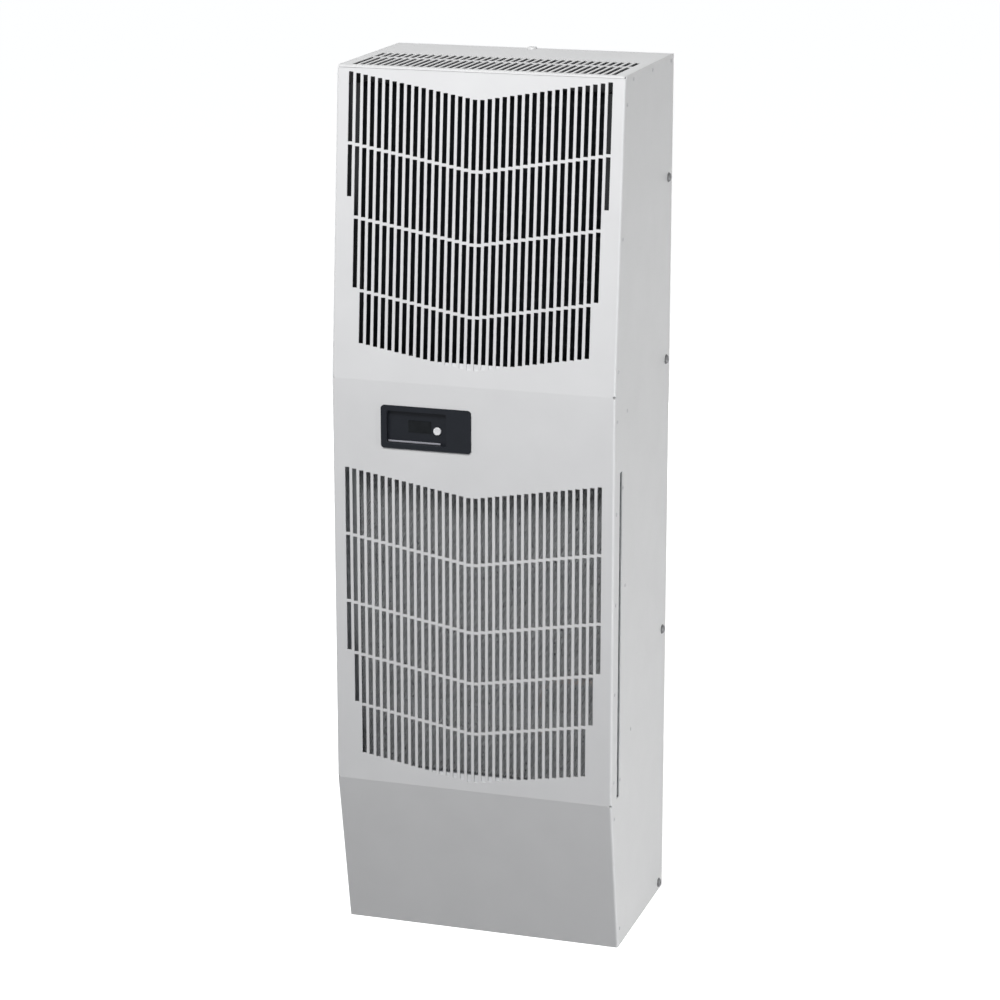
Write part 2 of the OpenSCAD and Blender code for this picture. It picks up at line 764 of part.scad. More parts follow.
// Base pan, partition and their foam
base_wall_h = 25;
base_gap = 4;
base_front_y = base_y + flange_d + base_gap;
drain_side = 65.5;
drain_x = drain_side - half_w;
drain_set = 14;
drain_y = pan_front_y + drain_set;
drain_bore_r = 6.35;
drain_body_r = 9;
module base_pan() color("#b4b7b9") difference() {
    block([-core_w, base_front_y, 0], [core_w, back_in_y - seam_gap, base_wall_h]);
    block(
        [-core_w + sheet_t, base_front_y + sheet_t, sheet_t],
        [core_w - sheet_t, back_in_y - seam_gap - sheet_t, base_wall_h + over]
    );
    translate([drain_x, drain_y, -over]) cylinder(r = drain_body_r + hole_gap, h = sheet_t + 2 * over);
    foot_places() translate([0, 0, -over]) cylinder(r = foot_bolt_r + hole_gap, h = sheet_t + 2 * over);
}
partition_flange = 20;
pass_gap = 1;
module line_passes(y0, y1) {
    translate([cold_x, 0, liquid_pass_z]) rod_y(y0, y1, liquid_r + pass_gap);
    translate([cold_x, 0, suction_pass_z]) rod_y(y0, y1, suction_r + pass_gap);
}
part_half = core_w - sheet_t - seam_gap;
module partition() color("#c2c4c5") difference() {
    union() {
        block(
            [-part_half, partition_y, sheet_t + seam_gap],
            [part_half, partition_back_y, roof_z - seam_gap]
        );
        both_sides() block(
            [part_half - sheet_t, partition_y - partition_flange, sheet_t + seam_gap],
            [part_half, partition_y + sheet_t / 2, roof_z - seam_gap]
        );
    }
    line_passes(partition_y - over, partition_back_y + over);
}
module partition_foam() color("#3b3d40") difference() {
    block([-foam_half, partition_back_y, base_wall_h], [foam_half, foam_y, roof_z - foam_drop]);
    line_passes(partition_back_y - over, foam_y + over);
    translate([0, 0, blower_z]) rod_y(partition_back_y - over, foam_y + over, blower_motor_r + pass_gap);
}
module cross_brace() color("#b9bbbd") difference() {
    block([-flange_w, brace_y, brace_z], [flange_w, brace_y + brace_d, brace_z + brace_h]);
    block(
        [-flange_w + sheet_t, brace_y - over, brace_z + sheet_t],
        [flange_w - sheet_t, brace_y + brace_d - sheet_t, brace_z + brace_h - sheet_t]
    );
    rivet_holes(brace_rivets);
}

// Baffles behind the lower ends of the grilles
function behind_face(z, angle) = face_y(z) + (sheet_t + seam_gap) / cos(angle);
module upper_baffle() color("#e2e3e4") {
    lip_y = behind_face(upper_deck_z, upper_angle);
    block([-core_w, lip_y + seam_gap, upper_deck_z], [core_w, baffle_back_y, upper_deck_z + sheet_t]);
    translate([-core_w, lip_y + seam_gap / 2, upper_deck_z]) rotate([-upper_angle, 0, 0])
        cube([2 * core_w, sheet_t, (upper_lip_z - upper_deck_z) / cos(upper_angle)]);
    block(
        [-core_w, baffle_back_y - sheet_t, upper_deck_z + sheet_t / 2],
        [core_w, baffle_back_y, upper_deck_z + deck_flange_h]
    );
}
module lower_baffle() color("#e2e3e4") {
    lip_y = behind_face(lower_deck_z, lower_angle);
    block([-core_w, lip_y, lower_deck_z], [core_w, side_rail_y - seam_gap, lower_deck_z + sheet_t]);
    block([-core_w, lip_y, lower_deck_z + sheet_t / 2], [core_w, lip_y + sheet_t, lower_lip_z]);
}

// Filter rails, filter frame and mesh
rail_half = core_w - seam_gap;
module rail_section(z, lip) {
    y0 = filter_y - seam_gap - sheet_t;
    y1 = filter_back_y + seam_gap + sheet_t;
    translate([y0, z]) square([y1 - y0, sheet_t]);
    for (y = [y0, y1 - sheet_t]) translate([y, min(z, z + lip)])
        square([sheet_t, abs(lip) + (lip < 0 ? sheet_t : 0)]);
}
module filter_lower_rail() color("#aeb2b4") spread(rail_half) rail_section(rail_floor_z, rail_lip);
module filter_upper_rail() color("#aeb2b4") spread(rail_half) rail_section(filter_top_z, -rail_lip);
module filter_side_rails() color("#aeb2b4") difference() {
    both_sides() union() {
        block(
            [flange_w - side_rail_leg, side_rail_y, filter_slot_z],
            [flange_w, side_rail_y + sheet_t, filter_top_z]
        );
        block(
            [flange_w - sheet_t, side_rail_y, filter_slot_z],
            [flange_w, side_rail_y + side_rail_d, filter_top_z]
        );
    }
    rivet_holes(rail_rivets);
}
module filter_frame() color("#8f9498") difference() {
    block(
        [filter_left_x, filter_y + filter_gap, filter_slot_z + filter_gap],
        [filter_right_x, filter_back_y - filter_gap, filter_top_z - filter_gap]
    );
    block(
        [filter_left_x + filter_bar, filter_y - over, filter_slot_z + filter_gap + filter_bar],
        [filter_right_x - filter_bar, filter_back_y + over, filter_top_z - filter_gap - filter_bar]
    );
}
media_gap = 0.2;
module filter_mesh() color("#5d6063") {
    mid_y = (filter_y + filter_back_y) / 2;
    block(
        [filter_left_x + filter_bar + media_gap, mid_y - filter_media_t / 2,
            filter_slot_z + filter_gap + filter_bar + media_gap],
        [filter_right_x - filter_bar - media_gap, mid_y + filter_media_t / 2,
            filter_top_z - filter_gap - filter_bar - media_gap]
    );
}

// Controller
module bezel_hole_shape() translate([button_x, button_z]) circle(button_r + button_gap);
module controller_bezel() color("#2e3033") difference() {
    union() {
        upright(bezel_y, front_y) translate([bezel_x, bezel_z]) soft_rect(bezel_w, bezel_h, bezel_r);
        upright(bezel_y + bezel_t / 2, bezel_back_y) translate([bezel_x + bezel_lip, bezel_z + bezel_lip])
            square([bezel_w - 2 * bezel_lip, bezel_h - 2 * bezel_lip]);
    }
    upright(bezel_y - over, recess_y) translate([recess_left, recess_low])
        soft_rect(recess_w, recess_h, recess_r);
    upright(bezel_y, bezel_back_y + over) bezel_hole_shape();
}
module ledge_strip() color("#b3b4bd") upright(recess_y - ledge_t, recess_y)
    translate([recess_left + ledge_gap, recess_low + ledge_gap]) square([ledge_w, ledge_h]);
module display_window() color("#1e2022") upright(recess_y - display_t, recess_y)
    translate([display_x, display_z]) square([display_w, display_h]);
module push_button() color("#e8e8ea") translate([button_x, recess_y, button_z]) {
    rod_y(-button_proud, bezel_floor_t, button_r);
    rod_y(bezel_floor_t / 2, bezel_floor_t + stem_l, stem_r);
}
stem_l = 4;
housing_set = 1;
module controller_housing() color("#3a3d40") {
    x0 = bezel_x + bezel_lip + housing_set;
    x1 = bezel_x + bezel_w - bezel_lip - housing_set;
    z0 = bezel_z + bezel_lip + housing_set;
    z1 = bezel_z + bezel_h - bezel_lip - housing_set;
    difference() {
        block([x0, bezel_back_y, z0], [x1, bezel_back_y + body_d, z1]);
        block([x0 + thin_t, bezel_back_y - over, z0 + thin_t],
            [x1 - thin_t, bezel_back_y + stem_l + button_travel + housing_set, z1 - thin_t]);
    }
}

// Control box and what it holds
module control_box() color("#c0c3c5") difference() {
    block([-flange_w, box_y, box_z], [flange_w, box_y + box_d, box_top_z]);
    block(
        [-flange_w + sheet_t, box_y - over, box_z + sheet_t],
        [flange_w - sheet_t, box_y + box_d - sheet_t, box_top_z - sheet_t]
    );
    rivet_holes(box_rivets);
}
module control_box_cover() color("#c6c9cb")
    block([-core_w, box_y - lid_gap - thin_t, box_z], [core_w, box_y - lid_gap, box_top_z]);
box_back_y = box_y + box_d - sheet_t;
terminal_side = 95.5;
terminal_x = terminal_side - half_w;
terminal_rise = 30;
terminal_w = 84;
terminal_d = 24;
terminal_h = 22;
terminal_ways = 7;
terminal_slot_w = 6;
terminal_edge = 6;
module terminal_block() color("#d8d6cc")
    translate([terminal_x, box_back_y, box_z + terminal_rise]) difference() {
        pitch = terminal_w / terminal_ways;
        translate([0, -terminal_d, 0]) cube([terminal_w, terminal_d, terminal_h]);
        for (i = [0:terminal_ways - 1])
            translate([(i + 0.5) * pitch - terminal_slot_w / 2, -terminal_d - over, terminal_edge])
            cube([terminal_slot_w, terminal_d / 2 + over, terminal_h - 2 * terminal_edge]);
    }
contactor_x = 20;
contactor_rise = 20;
contactor_w = 45;
contactor_d = 40;
contactor_h = 55;
contactor_cap_t = 6;
contactor_cap_in = 5;
module contactor() color("#46494c") translate([contactor_x, box_back_y, box_z + contactor_rise]) {
    translate([0, -contactor_d, 0]) cube([contactor_w, contactor_d, contactor_h]);
    translate([contactor_cap_in, -contactor_d - contactor_cap_t, contactor_cap_in])
        cube([contactor_w - 2 * contactor_cap_in, 2 * contactor_cap_t, contactor_h - 2 * contactor_cap_in]);
}
capacitor_side = 85.5;
capacitor_x = half_w - capacitor_side;
capacitor_r = 22;
capacitor_h = 80;
capacitor_gap = 2;
capacitor_tab_x = 8;
capacitor_tab_r = 2.5;
capacitor_tab_h = 10;
module run_capacitor() color("#b8bcc0")
    translate([capacitor_x, box_back_y - capacitor_r - capacitor_gap, box_z + sheet_t + seam_gap]) {
        cylinder(r = capacitor_r, h = capacitor_h);
        for (x = [-capacitor_tab_x, capacitor_tab_x]) translate([x, 0, capacitor_h - thin_t])
            cylinder(r = capacitor_tab_r, h = capacitor_tab_h);
    }

// Coils, drawn with their first tube at the start of the height
module u_bend(x, y, z, axis_turn, gap) translate([x, y, z]) rotate([axis_turn, 0, 0]) rotate(-90)
    rotate_extrude(angle = 180) translate([gap / 2, 0]) circle(tube_r, $fn = 24);
row_places = [for (s = [-1, 1]) fin_pack_t / 2 + s * tube_row_gap / 2];
bend_x = coil_half + thin_t + sheet_t;
module coil_tubes(count) {
    last = count - 1;
    for (y = row_places, k = [0:last]) translate([0, y, (k + 0.5) * tube_pitch])
        rod_x(-bend_x, k == 0 ? stub_x : bend_x, tube_r);
    for (y = row_places, k = [0:last - 1]) mirror([k % 2 == 0 ? 1 : 0, 0, 0])
        u_bend(bend_x, y, (k + 1) * tube_pitch, 90, tube_pitch);
    mirror([last % 2 == 0 ? 1 : 0, 0, 0])
        u_bend(bend_x, fin_pack_t / 2, (last + 0.5) * tube_pitch, 0, tube_row_gap);
}
module tube_bores(count) {
    for (y = row_places, k = [0:count - 1]) translate([0, y, (k + 0.5) * tube_pitch])
        rod_x(-bend_x - over, bend_x + over, tube_r + plate_gap);
}
fin_grooves = 34;
fin_groove_share = 0.75;
module coil_fins(count) {
    h = count * tube_pitch;
    half = coil_half - plate_gap;
    step = 2 * half / fin_grooves;
    groove_d = row_places[0];
    difference() {
        translate([-half, 0, 0]) cube([2 * half, fin_pack_t, h]);
        tube_bores(count);
        for (i = [0:fin_grooves - 1], y = [-over, fin_pack_t - groove_d])
            translate([-half + (i + 0.5 - fin_groove_share / 2) * step, y, -over])
            cube([fin_groove_share * step, groove_d + over, h + 2 * over]);
    }
}
module condenser_place() translate([0, coil_y, coil_z + condenser_h]) mirror([0, 0, 1]) children();
module condenser_fins() color("#2c3135") condenser_place() coil_fins(condenser_rows);
module condenser_tubes() color("#b06a3f") condenser_place() coil_tubes(condenser_rows);
// End plates stand on the deck and fill the way round the coil
plate_rise = 4;
module condenser_end_plates() color("#8d9296") difference() {
    plate_top_z = coil_z + condenser_h + plate_rise;
    both_sides() union() {
        block([coil_half, coil_y, upper_deck_z + sheet_t], [coil_half + sheet_t, coil_back_y, plate_top_z]);
        block(
            [coil_half, coil_y - sheet_t, upper_deck_z + sheet_t],
            [core_w, coil_y + sheet_t / 2, plate_top_z]
        );
    }
    condenser_place() tube_bores(condenser_rows);
}
module evaporator_place() translate([0, evap_y, evap_z]) rotate([-evaporator_lean, 0, 0]) children();
module evaporator_fins() color("#b7bcc0") evaporator_place() coil_fins(evaporator_rows);
module evaporator_tubes() color("#b06a3f") evaporator_place() coil_tubes(evaporator_rows);
function leaned(y, z) = [
    evap_y + y * cos(evaporator_lean) + z * sin(evaporator_lean),
    evap_z - y * sin(evaporator_lean) + z * cos(evaporator_lean)
];
plate_edge = 2;
module evaporator_end_plates() color("#9a9fa3") difference() {
    low_front = leaned(-plate_edge, -plate_edge);
    low_back = leaned(fin_pack_t + plate_edge, -plate_edge);
    floor_z = pan_z + thin_t;
    both_sides() translate([coil_half, 0, 0]) rotate([90, 0, 90]) linear_extrude(sheet_t) polygon([
        [low_front[0], floor_z],
        [low_back[0], floor_z],
        low_back,
        leaned(fin_pack_t + plate_edge, evap_h + plate_edge),
        leaned(-plate_edge, evap_h + plate_edge),
        low_front
    ]);
    evaporator_place() tube_bores(evaporator_rows);
}

// Condenser fan, its shroud and its motor
gas_z = coil_z + condenser_h - tube_pitch / 2;
liquid_x = coil_half + liquid_l;
liquid_rise = 16;
liquid_low_z = upper_deck_z + liquid_rise;
module fan_shroud() color("#8a9094") difference() {
    union() {
        block([-core_w, shroud_y, upper_deck_z + sheet_t], [core_w, shroud_back_y, roof_z - seam_gap]);
        translate([0, 0, fan_z]) rod_y(shroud_y, shroud_back_y + shroud_ring_l, fan_orifice_r + sheet_t);
    }
    translate([0, 0, fan_z]) rod_y(shroud_y - over, shroud_back_y + shroud_ring_l + over, fan_orifice_r);
    translate([gas_x, 0, gas_z]) rod_y(shroud_y - over, shroud_back_y + over, discharge_r + pass_gap);
    translate([liquid_x, 0, liquid_low_z]) rod_y(shroud_y - over, shroud_back_y + over, liquid_r + pass_gap);
}
module condenser_fan() color("#1d1f21") translate([0, fan_y, fan_z]) {
    difference() {
        rod_y(-hub_nose, fan_l, hub_r);
        rod_y(hub_face_t - hub_nose, fan_l + over, hub_r - hub_wall);
    }
    rod_y(0, bracket_y - fan_y + bracket_t + shaft_in, shaft_r);
    for (i = [0:fan_blades - 1]) rotate([0, i * 360 / fan_blades, 0]) intersection() {
        difference() {
            rod_y(0, fan_l, fan_r);
            rod_y(-over, fan_l + over, hub_r - hub_wall / 2);
        }
        translate([0, fan_l / 2, hub_r - hub_wall]) rotate([0, 0, fan_blade_pitch])
            translate([-fan_r / 2, -fan_blade_t / 2, 0]) cube([fan_r, fan_blade_t, fan_r]);
    }
}
module fan_motor() color("#33363a") translate([0, bracket_y + bracket_t, fan_z]) difference() {
    union() {
        rod_y(0, fan_motor_l - motor_cap_l, fan_motor_r);
        rod_y(fan_motor_l - motor_cap_l - thin_t, fan_motor_l, fan_motor_r - motor_cap_l);
    }
    rod_y(-over, shaft_in + shaft_end_gap, shaft_r + shaft_gap);
}
module fan_motor_bracket() color("#7d8286") translate([0, 0, fan_z]) difference() {
    union() {
        rod_y(bracket_y, bracket_y + bracket_t, fan_motor_r + motor_pad);
        for (i = [0:bracket_arms - 1]) rotate([0, 45 + i * 360 / bracket_arms, 0]) {
            translate([-arm_w / 2, bracket_y, fan_motor_r])
                cube([arm_w, bracket_t, post_ring_r + arm_w / 2 - fan_motor_r]);
            translate([0, 0, post_ring_r]) rod_y(shroud_back_y, bracket_y + bracket_t / 2, post_r);
        }
    }
    rod_y(bracket_y - over, bracket_y + bracket_t + over, shaft_r + run_gap);
}

// Blower of the enclosure side
module wheel_blade_shape() {
    difference() {
        translate(blade_at) circle(blade_curve_r + wheel_plate_t);
        translate(blade_at) circle(blade_curve_r);
        translate([-2 * blower_r, -2 * blower_r]) square([4 * blower_r, 2 * blower_r]);
    }
}
module blower_wheel() color("#c9cccf") translate([0, 0, blower_z]) {
    difference() {
        rod_y(wheel_y, wheel_y + wheel_plate_t, blower_r);
        rod_y(wheel_y - over, wheel_y + wheel_plate_t + over, rotor_r - wheel_lap);
    }
    difference() {
        rod_y(wheel_end_y - wheel_plate_t, wheel_end_y, blower_r);
        rod_y(wheel_end_y - wheel_plate_t - over, wheel_end_y + over, eye_r + run_gap);
    }
    for (i = [0:blower_blades - 1]) rotate([0, i * 360 / blower_blades, 0]) intersection() {
        difference() {
            rod_y(wheel_y + wheel_plate_t / 2, wheel_end_y - wheel_plate_t / 2, blower_r - wheel_plate_t);
            rod_y(wheel_y - over, wheel_end_y + over, rotor_r + blade_root);
        }
        upright(wheel_y, wheel_end_y) wheel_blade_shape();
    }
}
module blower_rotor() color("#26282b") translate([0, 0, blower_z]) {
    difference() {
        rod_y(wheel_y + wheel_plate_t, wheel_y + rotor_l, rotor_r);
        rod_y(wheel_y + wheel_plate_t - over, wheel_y + rotor_l - rotor_face_t, rotor_r - rotor_wall);
    }
    rod_y(motor_face_y - blower_shaft_in, wheel_y + rotor_l - rotor_face_t / 2, blower_shaft_r);
}
stator_end_y = wheel_y + rotor_l - rotor_face_t - run_gap;
module blower_motor() color("#5a5e62") translate([0, 0, blower_z]) difference() {
    union() {
        rod_y(partition_back_y, motor_face_y, blower_motor_r);
        rod_y(motor_face_y - thin_t, stator_end_y, rotor_r - rotor_wall - run_gap);
    }
    rod_y(motor_face_y - blower_shaft_in - over, wheel_y + rotor_l, blower_shaft_r + shaft_gap);
}
module inlet_ring() color("#a8adb0") {
    translate([0, ring_y + sheet_t, blower_z]) rotate([90, 0, 0]) rotate_extrude($fn = 96) {
        translate([ring_mouth_r, 0]) square([ring_flange_r - ring_mouth_r, sheet_t]);
        intersection() {
            translate([ring_mouth_r, ring_curve]) difference() {
                circle(ring_curve);
                circle(ring_curve - sheet_t);
            }
            translate([eye_r, 0]) square([ring_curve, ring_curve]);
        }
        translate([eye_r, ring_curve]) square([sheet_t, ring_tip_l]);
    }
    guard_feet() rod_y(ring_y + sheet_t / 2, back_y, rivet_r);
}
guard_set = 5;
guard_edge = 7;
guard_foot_r = 4;
guard_hub_r = 9;
guard_r = ring_mouth_r + guard_set;
guard_rings = 4;
module guard_feet() {
    for (a = [45:90:315]) translate([guard_r * cos(a), 0, blower_z + guard_r * sin(a)]) children();
}
module inlet_guard() color("#c8cccf") {
    wire_y = back_y + guard_spoke_r;
    translate([0, 0, blower_z]) rod_y(back_y, back_y + 2 * guard_spoke_r, guard_hub_r);
    for (k = [1:guard_rings]) translate([0, wire_y, blower_z]) rotate([90, 0, 0]) rotate_extrude()
        translate([guard_hub_r + k * (guard_r - guard_edge - guard_hub_r) / guard_rings, 0])
        circle(guard_wire_r, $fn = 16);
    for (a = [45:90:315]) translate([0, wire_y, blower_z]) rotate([0, a, 0])
        rod_x(guard_hub_r - guard_wire_r, guard_r - guard_wire_r, guard_spoke_r - guard_slack);
    guard_feet() rod_y(back_y, back_y + 2 * guard_spoke_r, guard_foot_r);
}

// Compressor and its mounts
dome_h = 24;
neck_h = 6;
neck_wall = 4;
cover_at = 20;
cover_r = 12;
cover_h = 16;
foot_ring_set = 8;
foot_ring_r = compressor_r - foot_ring_set;
foot_pad_r = 10;
foot_bolt_r = 3;
foot_base_h = 5;
foot_step = 2;
foot_bolt_end = 8;
foot_nut_r = 5.5;
foot_nut_h = 5;
module foot_places() {
    for (a = [90, 210, 330])
        translate([compressor_x + foot_ring_r * cos(a), compressor_y + foot_ring_r * sin(a), 0]) children();
}
module compressor() color("#1b1d1f") {
    translate([compressor_x, compressor_y, compressor_z]) {
        translate([0, 0, dome_h]) cylinder(r = compressor_r, h = compressor_h - 2 * dome_h);
        cylinder(r1 = compressor_r - dome_h, r2 = compressor_r, h = dome_h);
        translate([0, 0, compressor_h - dome_h])
            cylinder(r1 = compressor_r, r2 = compressor_r - dome_h, h = dome_h);
        translate([0, 0, compressor_h - neck_h / 2]) cylinder(r = discharge_r + neck_wall, h = neck_h);
        translate([-cover_at, -cover_at, compressor_h - cover_h / 2]) cylinder(r = cover_r, h = cover_h);
    }
    difference() {
        hull() foot_places() translate([0, 0, foot_z]) cylinder(r = foot_pad_r, h = foot_plate_t, $fn = 24);
        foot_places() translate([0, 0, foot_z - over])
            cylinder(r = foot_bolt_r + hole_gap, h = foot_plate_t + 2 * over);
    }
}
module compressor_feet() color("#161718") foot_places() translate([0, 0, sheet_t]) difference() {
    union() {
        cylinder(r = foot_pad_r, h = foot_base_h);
        cylinder(r = foot_pad_r - foot_step, h = foot_z - sheet_t);
    }
    translate([0, 0, -over]) cylinder(r = foot_bolt_r + hole_gap, h = foot_z + 2 * over);
}
module compressor_bolts() color("#c4c7ca") foot_places() {
    cylinder(r = foot_bolt_r, h = foot_z + foot_bolt_end);
    translate([0, 0, foot_z + foot_plate_t]) cylinder(r = foot_pad_r - foot_step, h = washer_t);
    translate([0, 0, foot_z + foot_plate_t + washer_t]) cylinder(r = foot_nut_r, h = foot_nut_h, $fn = 6);
}
accumulator_z = 62;
accumulator_cap = 8;
module accumulator() color("#1f2123") translate([accumulator_x, compressor_y, accumulator_z]) {
    cylinder(r = accumulator_r, h = accumulator_h);
    translate([0, 0, -accumulator_cap])
        cylinder(r1 = accumulator_r - accumulator_cap, r2 = accumulator_r, h = accumulator_cap);
    translate([0, 0, accumulator_h])
        cylinder(r1 = accumulator_r, r2 = accumulator_r - accumulator_cap, h = accumulator_cap);
    reach = accumulator_x - compressor_x - compressor_r;
    low = -accumulator_cap - elbow_r;
    pipe([[0, 0, -accumulator_cap], [0, 0, low], [-reach, 0, low]], suction_r, elbow_r);
}

// Refrigerant lines
evap_in = leaned(row_places[0], tube_pitch / 2);
evap_out = leaned(row_places[1], tube_pitch / 2);
compressor_top_z = compressor_z + compressor_h + neck_h / 2;
module discharge_line() color("#b87345") pipe([
    [compressor_x, compressor_y, compressor_top_z],
    [compressor_x, compressor_y, gas_lift_z],
    [compressor_x, riser_y, gas_lift_z],
    [riser_x, riser_y, gas_lift_z],
    [riser_x, riser_y, gas_z],
    [gas_x, riser_y, gas_z],
    [gas_x, coil_y + row_places[1], gas_z],
    [stub_x, coil_y + row_places[1], gas_z]
], discharge_r, elbow_r);
drier_drop = 2;
drier_z = evap_z - drier_drop;
drier_l = 110;
between_rows_y = coil_y + fin_pack_t / 2;
module liquid_line() color("#b87345") {
    pipe([
        [stub_x, coil_y + row_places[0], gas_z],
        [liquid_x, coil_y + row_places[0], gas_z],
        [liquid_x, between_rows_y, gas_z],
        [liquid_x, between_rows_y, liquid_low_z],
        [liquid_x, drier_y, liquid_low_z],
        [drier_x, drier_y, liquid_low_z],
        [drier_x, drier_y, drier_z + drier_l]
    ], liquid_r, liquid_elbow_r);
    pipe([
        [drier_x, drier_y, drier_z],
        [drier_x, drier_y, liquid_pass_z],
        [cold_x, drier_y, liquid_pass_z],
        [cold_x, evap_in[0], liquid_pass_z],
        [cold_x, evap_in[0], valve_z]
    ], liquid_r, liquid_elbow_r);
}
module filter_drier() color("#8c5a3a") translate([drier_x, drier_y, drier_z]) {
    neck = 12;
    cylinder(r1 = liquid_r, r2 = drier_r, h = neck);
    translate([0, 0, neck]) cylinder(r = drier_r, h = drier_l - 2 * neck);
    translate([0, 0, drier_l - neck]) cylinder(r1 = drier_r, r2 = liquid_r, h = neck);
}
valve_drop = 18;
valve_z = evap_z - valve_drop;
valve_r = 8;
valve_h = 18;
module expansion_valve() color("#c7a252") {
    translate([cold_x, evap_in[0], valve_z]) cylinder(r = valve_r, h = valve_h);
    pipe([
        [cold_x, evap_in[0], valve_z + valve_h / 2],
        [cold_x, evap_in[0], evap_in[1]],
        [stub_x, evap_in[0], evap_in[1]]
    ], liquid_r - liquid_wall, liquid_elbow_r);
}
module suction_line() color("#b87345") pipe([
    [stub_x, evap_out[0], evap_out[1]],
    [cold_x, evap_out[0], evap_out[1]],
    [cold_x, evap_out[0], suction_pass_z],
    [cold_x, compressor_y, suction_pass_z],
    [accumulator_x, compressor_y, suction_pass_z],
    [accumulator_x, compressor_y, accumulator_z + accumulator_h + accumulator_cap]
], suction_r, elbow_r);

// Condensate pan and its drain
pan_bore_r = 5;
spout_l = 8;
spout_wall = 3;
module condensate_pan() color("#d3d5d6") translate([0, pan_front_y, pan_z]) difference() {
    union() {
        translate([-pan_half, 0, 0]) cube([2 * pan_half, pan_d, pan_h]);
        translate([drain_x, drain_set, -spout_l])
            cylinder(r = pan_bore_r + spout_wall, h = spout_l + thin_t);
    }
    translate([-pan_half + thin_t, thin_t, thin_t])
        cube([2 * (pan_half - thin_t), pan_d - 2 * thin_t, pan_h]);
    translate([drain_x, drain_set, -spout_l - over])
        cylinder(r = pan_bore_r, h = spout_l + thin_t + 2 * over);
}
module drain_tube() color("#d8d8d2") translate([drain_x, drain_y, drain_fitting_h]) difference() {
    tube_l = pan_z - spout_l - drain_fitting_h;
    cylinder(r = pan_bore_r + spout_wall, h = tube_l);
    translate([0, 0, -over]) cylinder(r = pan_bore_r, h = tube_l + 2 * over);
}
drain_fitting_h = 32;
drain_nut_wall = 5;
drain_nut_h = 3;
module drain_fitting() color("#2a2c2e") translate([drain_x, drain_y, 0]) difference() {
    union() {
        cylinder(r = drain_body_r, h = drain_fitting_h);
        translate([0, 0, sheet_t]) cylinder(r = drain_body_r + drain_nut_wall, h = drain_nut_h);
    }
    translate([0, 0, -over]) cylinder(r = drain_bore_r, h = drain_fitting_h + 2 * over);
}

// Rivets and bolts of the sides
rivet_head_h = 0.8;
module rivets() color("#bfc1c2") for (place = rivet_places) both_sides() translate([0, place[0], place[1]]) {
    translate([half_w, 0, 0]) rotate([0, 90, 0])
        cylinder(r1 = rivet_head_r, r2 = rivet_head_r - rivet_head_h, h = rivet_head_h);
    rod_x(flange_w - sheet_t, half_w + rivet_head_h / 2, rivet_r);
}
bolt_head_h = 3;
washer_t = 0.8;
washer_lip = 1;
bolt_dome = 2;
module side_bolts() color("#9b9ea0") for (z = bolt_heights) both_sides() translate([0, bolt_y, z]) {
    rod_x(half_w, half_w + washer_t, bolt_head_r + washer_lip);
    translate([half_w + washer_t, 0, 0]) rotate([0, 90, 0])
        cylinder(r1 = bolt_head_r, r2 = bolt_head_r - bolt_dome, h = bolt_head_h);
    rod_x(flange_w - sheet_t, half_w + washer_t, bolt_r);
}

front_panel();
top_panel();
left_side_panel();
right_side_panel();
rear_panel();
rear_strips();
base_pan();
partition();
partition_foam();
cross_brace();
upper_baffle();
lower_baffle();
filter_lower_rail();
filter_upper_rail();
filter_side_rails();
filter_frame();
filter_mesh();
controller_bezel();
ledge_strip();
display_window();
push_button();
controller_housing();
control_box();
control_box_cover();
terminal_block();
contactor();
run_capacitor();
condenser_fins();
condenser_tubes();
condenser_end_plates();
fan_shroud();
condenser_fan();
fan_motor();
fan_motor_bracket();
evaporator_fins();
evaporator_tubes();
evaporator_end_plates();
inlet_ring();
inlet_guard();
blower_wheel();
blower_rotor();
blower_motor();
compressor();
compressor_feet();
compressor_bolts();
accumulator();
discharge_line();
liquid_line();
suction_line();
filter_drier();
expansion_valve();
condensate_pan();
drain_tube();
drain_fitting();
gasket();
mounting_nuts();
cable_gland();
lifting_insert();
rivets();
side_bolts();
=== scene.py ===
# The looks of a side-mounted enclosure cooling unit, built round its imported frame.
# Lengths are metres. X runs across the front, Y from the front to the rear, and Z up.
import json
import math
import random

import bmesh
import bpy
from mathutils import Matrix, Vector, noise

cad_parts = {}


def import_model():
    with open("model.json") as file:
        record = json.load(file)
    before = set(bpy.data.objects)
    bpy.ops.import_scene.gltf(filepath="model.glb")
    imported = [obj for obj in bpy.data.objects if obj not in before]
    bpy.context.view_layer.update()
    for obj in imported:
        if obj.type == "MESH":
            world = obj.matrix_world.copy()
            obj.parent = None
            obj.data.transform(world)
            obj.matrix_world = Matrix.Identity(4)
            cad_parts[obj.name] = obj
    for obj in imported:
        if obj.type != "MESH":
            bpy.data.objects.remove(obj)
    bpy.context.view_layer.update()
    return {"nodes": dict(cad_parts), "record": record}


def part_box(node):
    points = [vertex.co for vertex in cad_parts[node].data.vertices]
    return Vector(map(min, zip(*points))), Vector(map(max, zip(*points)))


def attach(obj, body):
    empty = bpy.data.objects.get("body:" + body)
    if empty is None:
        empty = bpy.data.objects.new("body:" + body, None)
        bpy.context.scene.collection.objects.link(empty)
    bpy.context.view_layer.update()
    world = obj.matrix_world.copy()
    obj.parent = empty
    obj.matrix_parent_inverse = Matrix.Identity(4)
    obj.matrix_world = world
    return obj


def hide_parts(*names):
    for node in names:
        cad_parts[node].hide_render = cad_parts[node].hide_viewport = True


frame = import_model()
NODES = frame["nodes"]
RECORD = frame["record"]
MM = 0.001
random.seed(11)

# Camera, from a fit of the photographed corners to the part's own
VIEW_AZIMUTH = math.radians(17.59)
VIEW_ELEVATION = math.radians(15.37)
VIEW_DISTANCE = 4.713
VIEW_TARGET = Vector((-0.0058, 0, 0.6573))
VIEW_LENS = 112.2

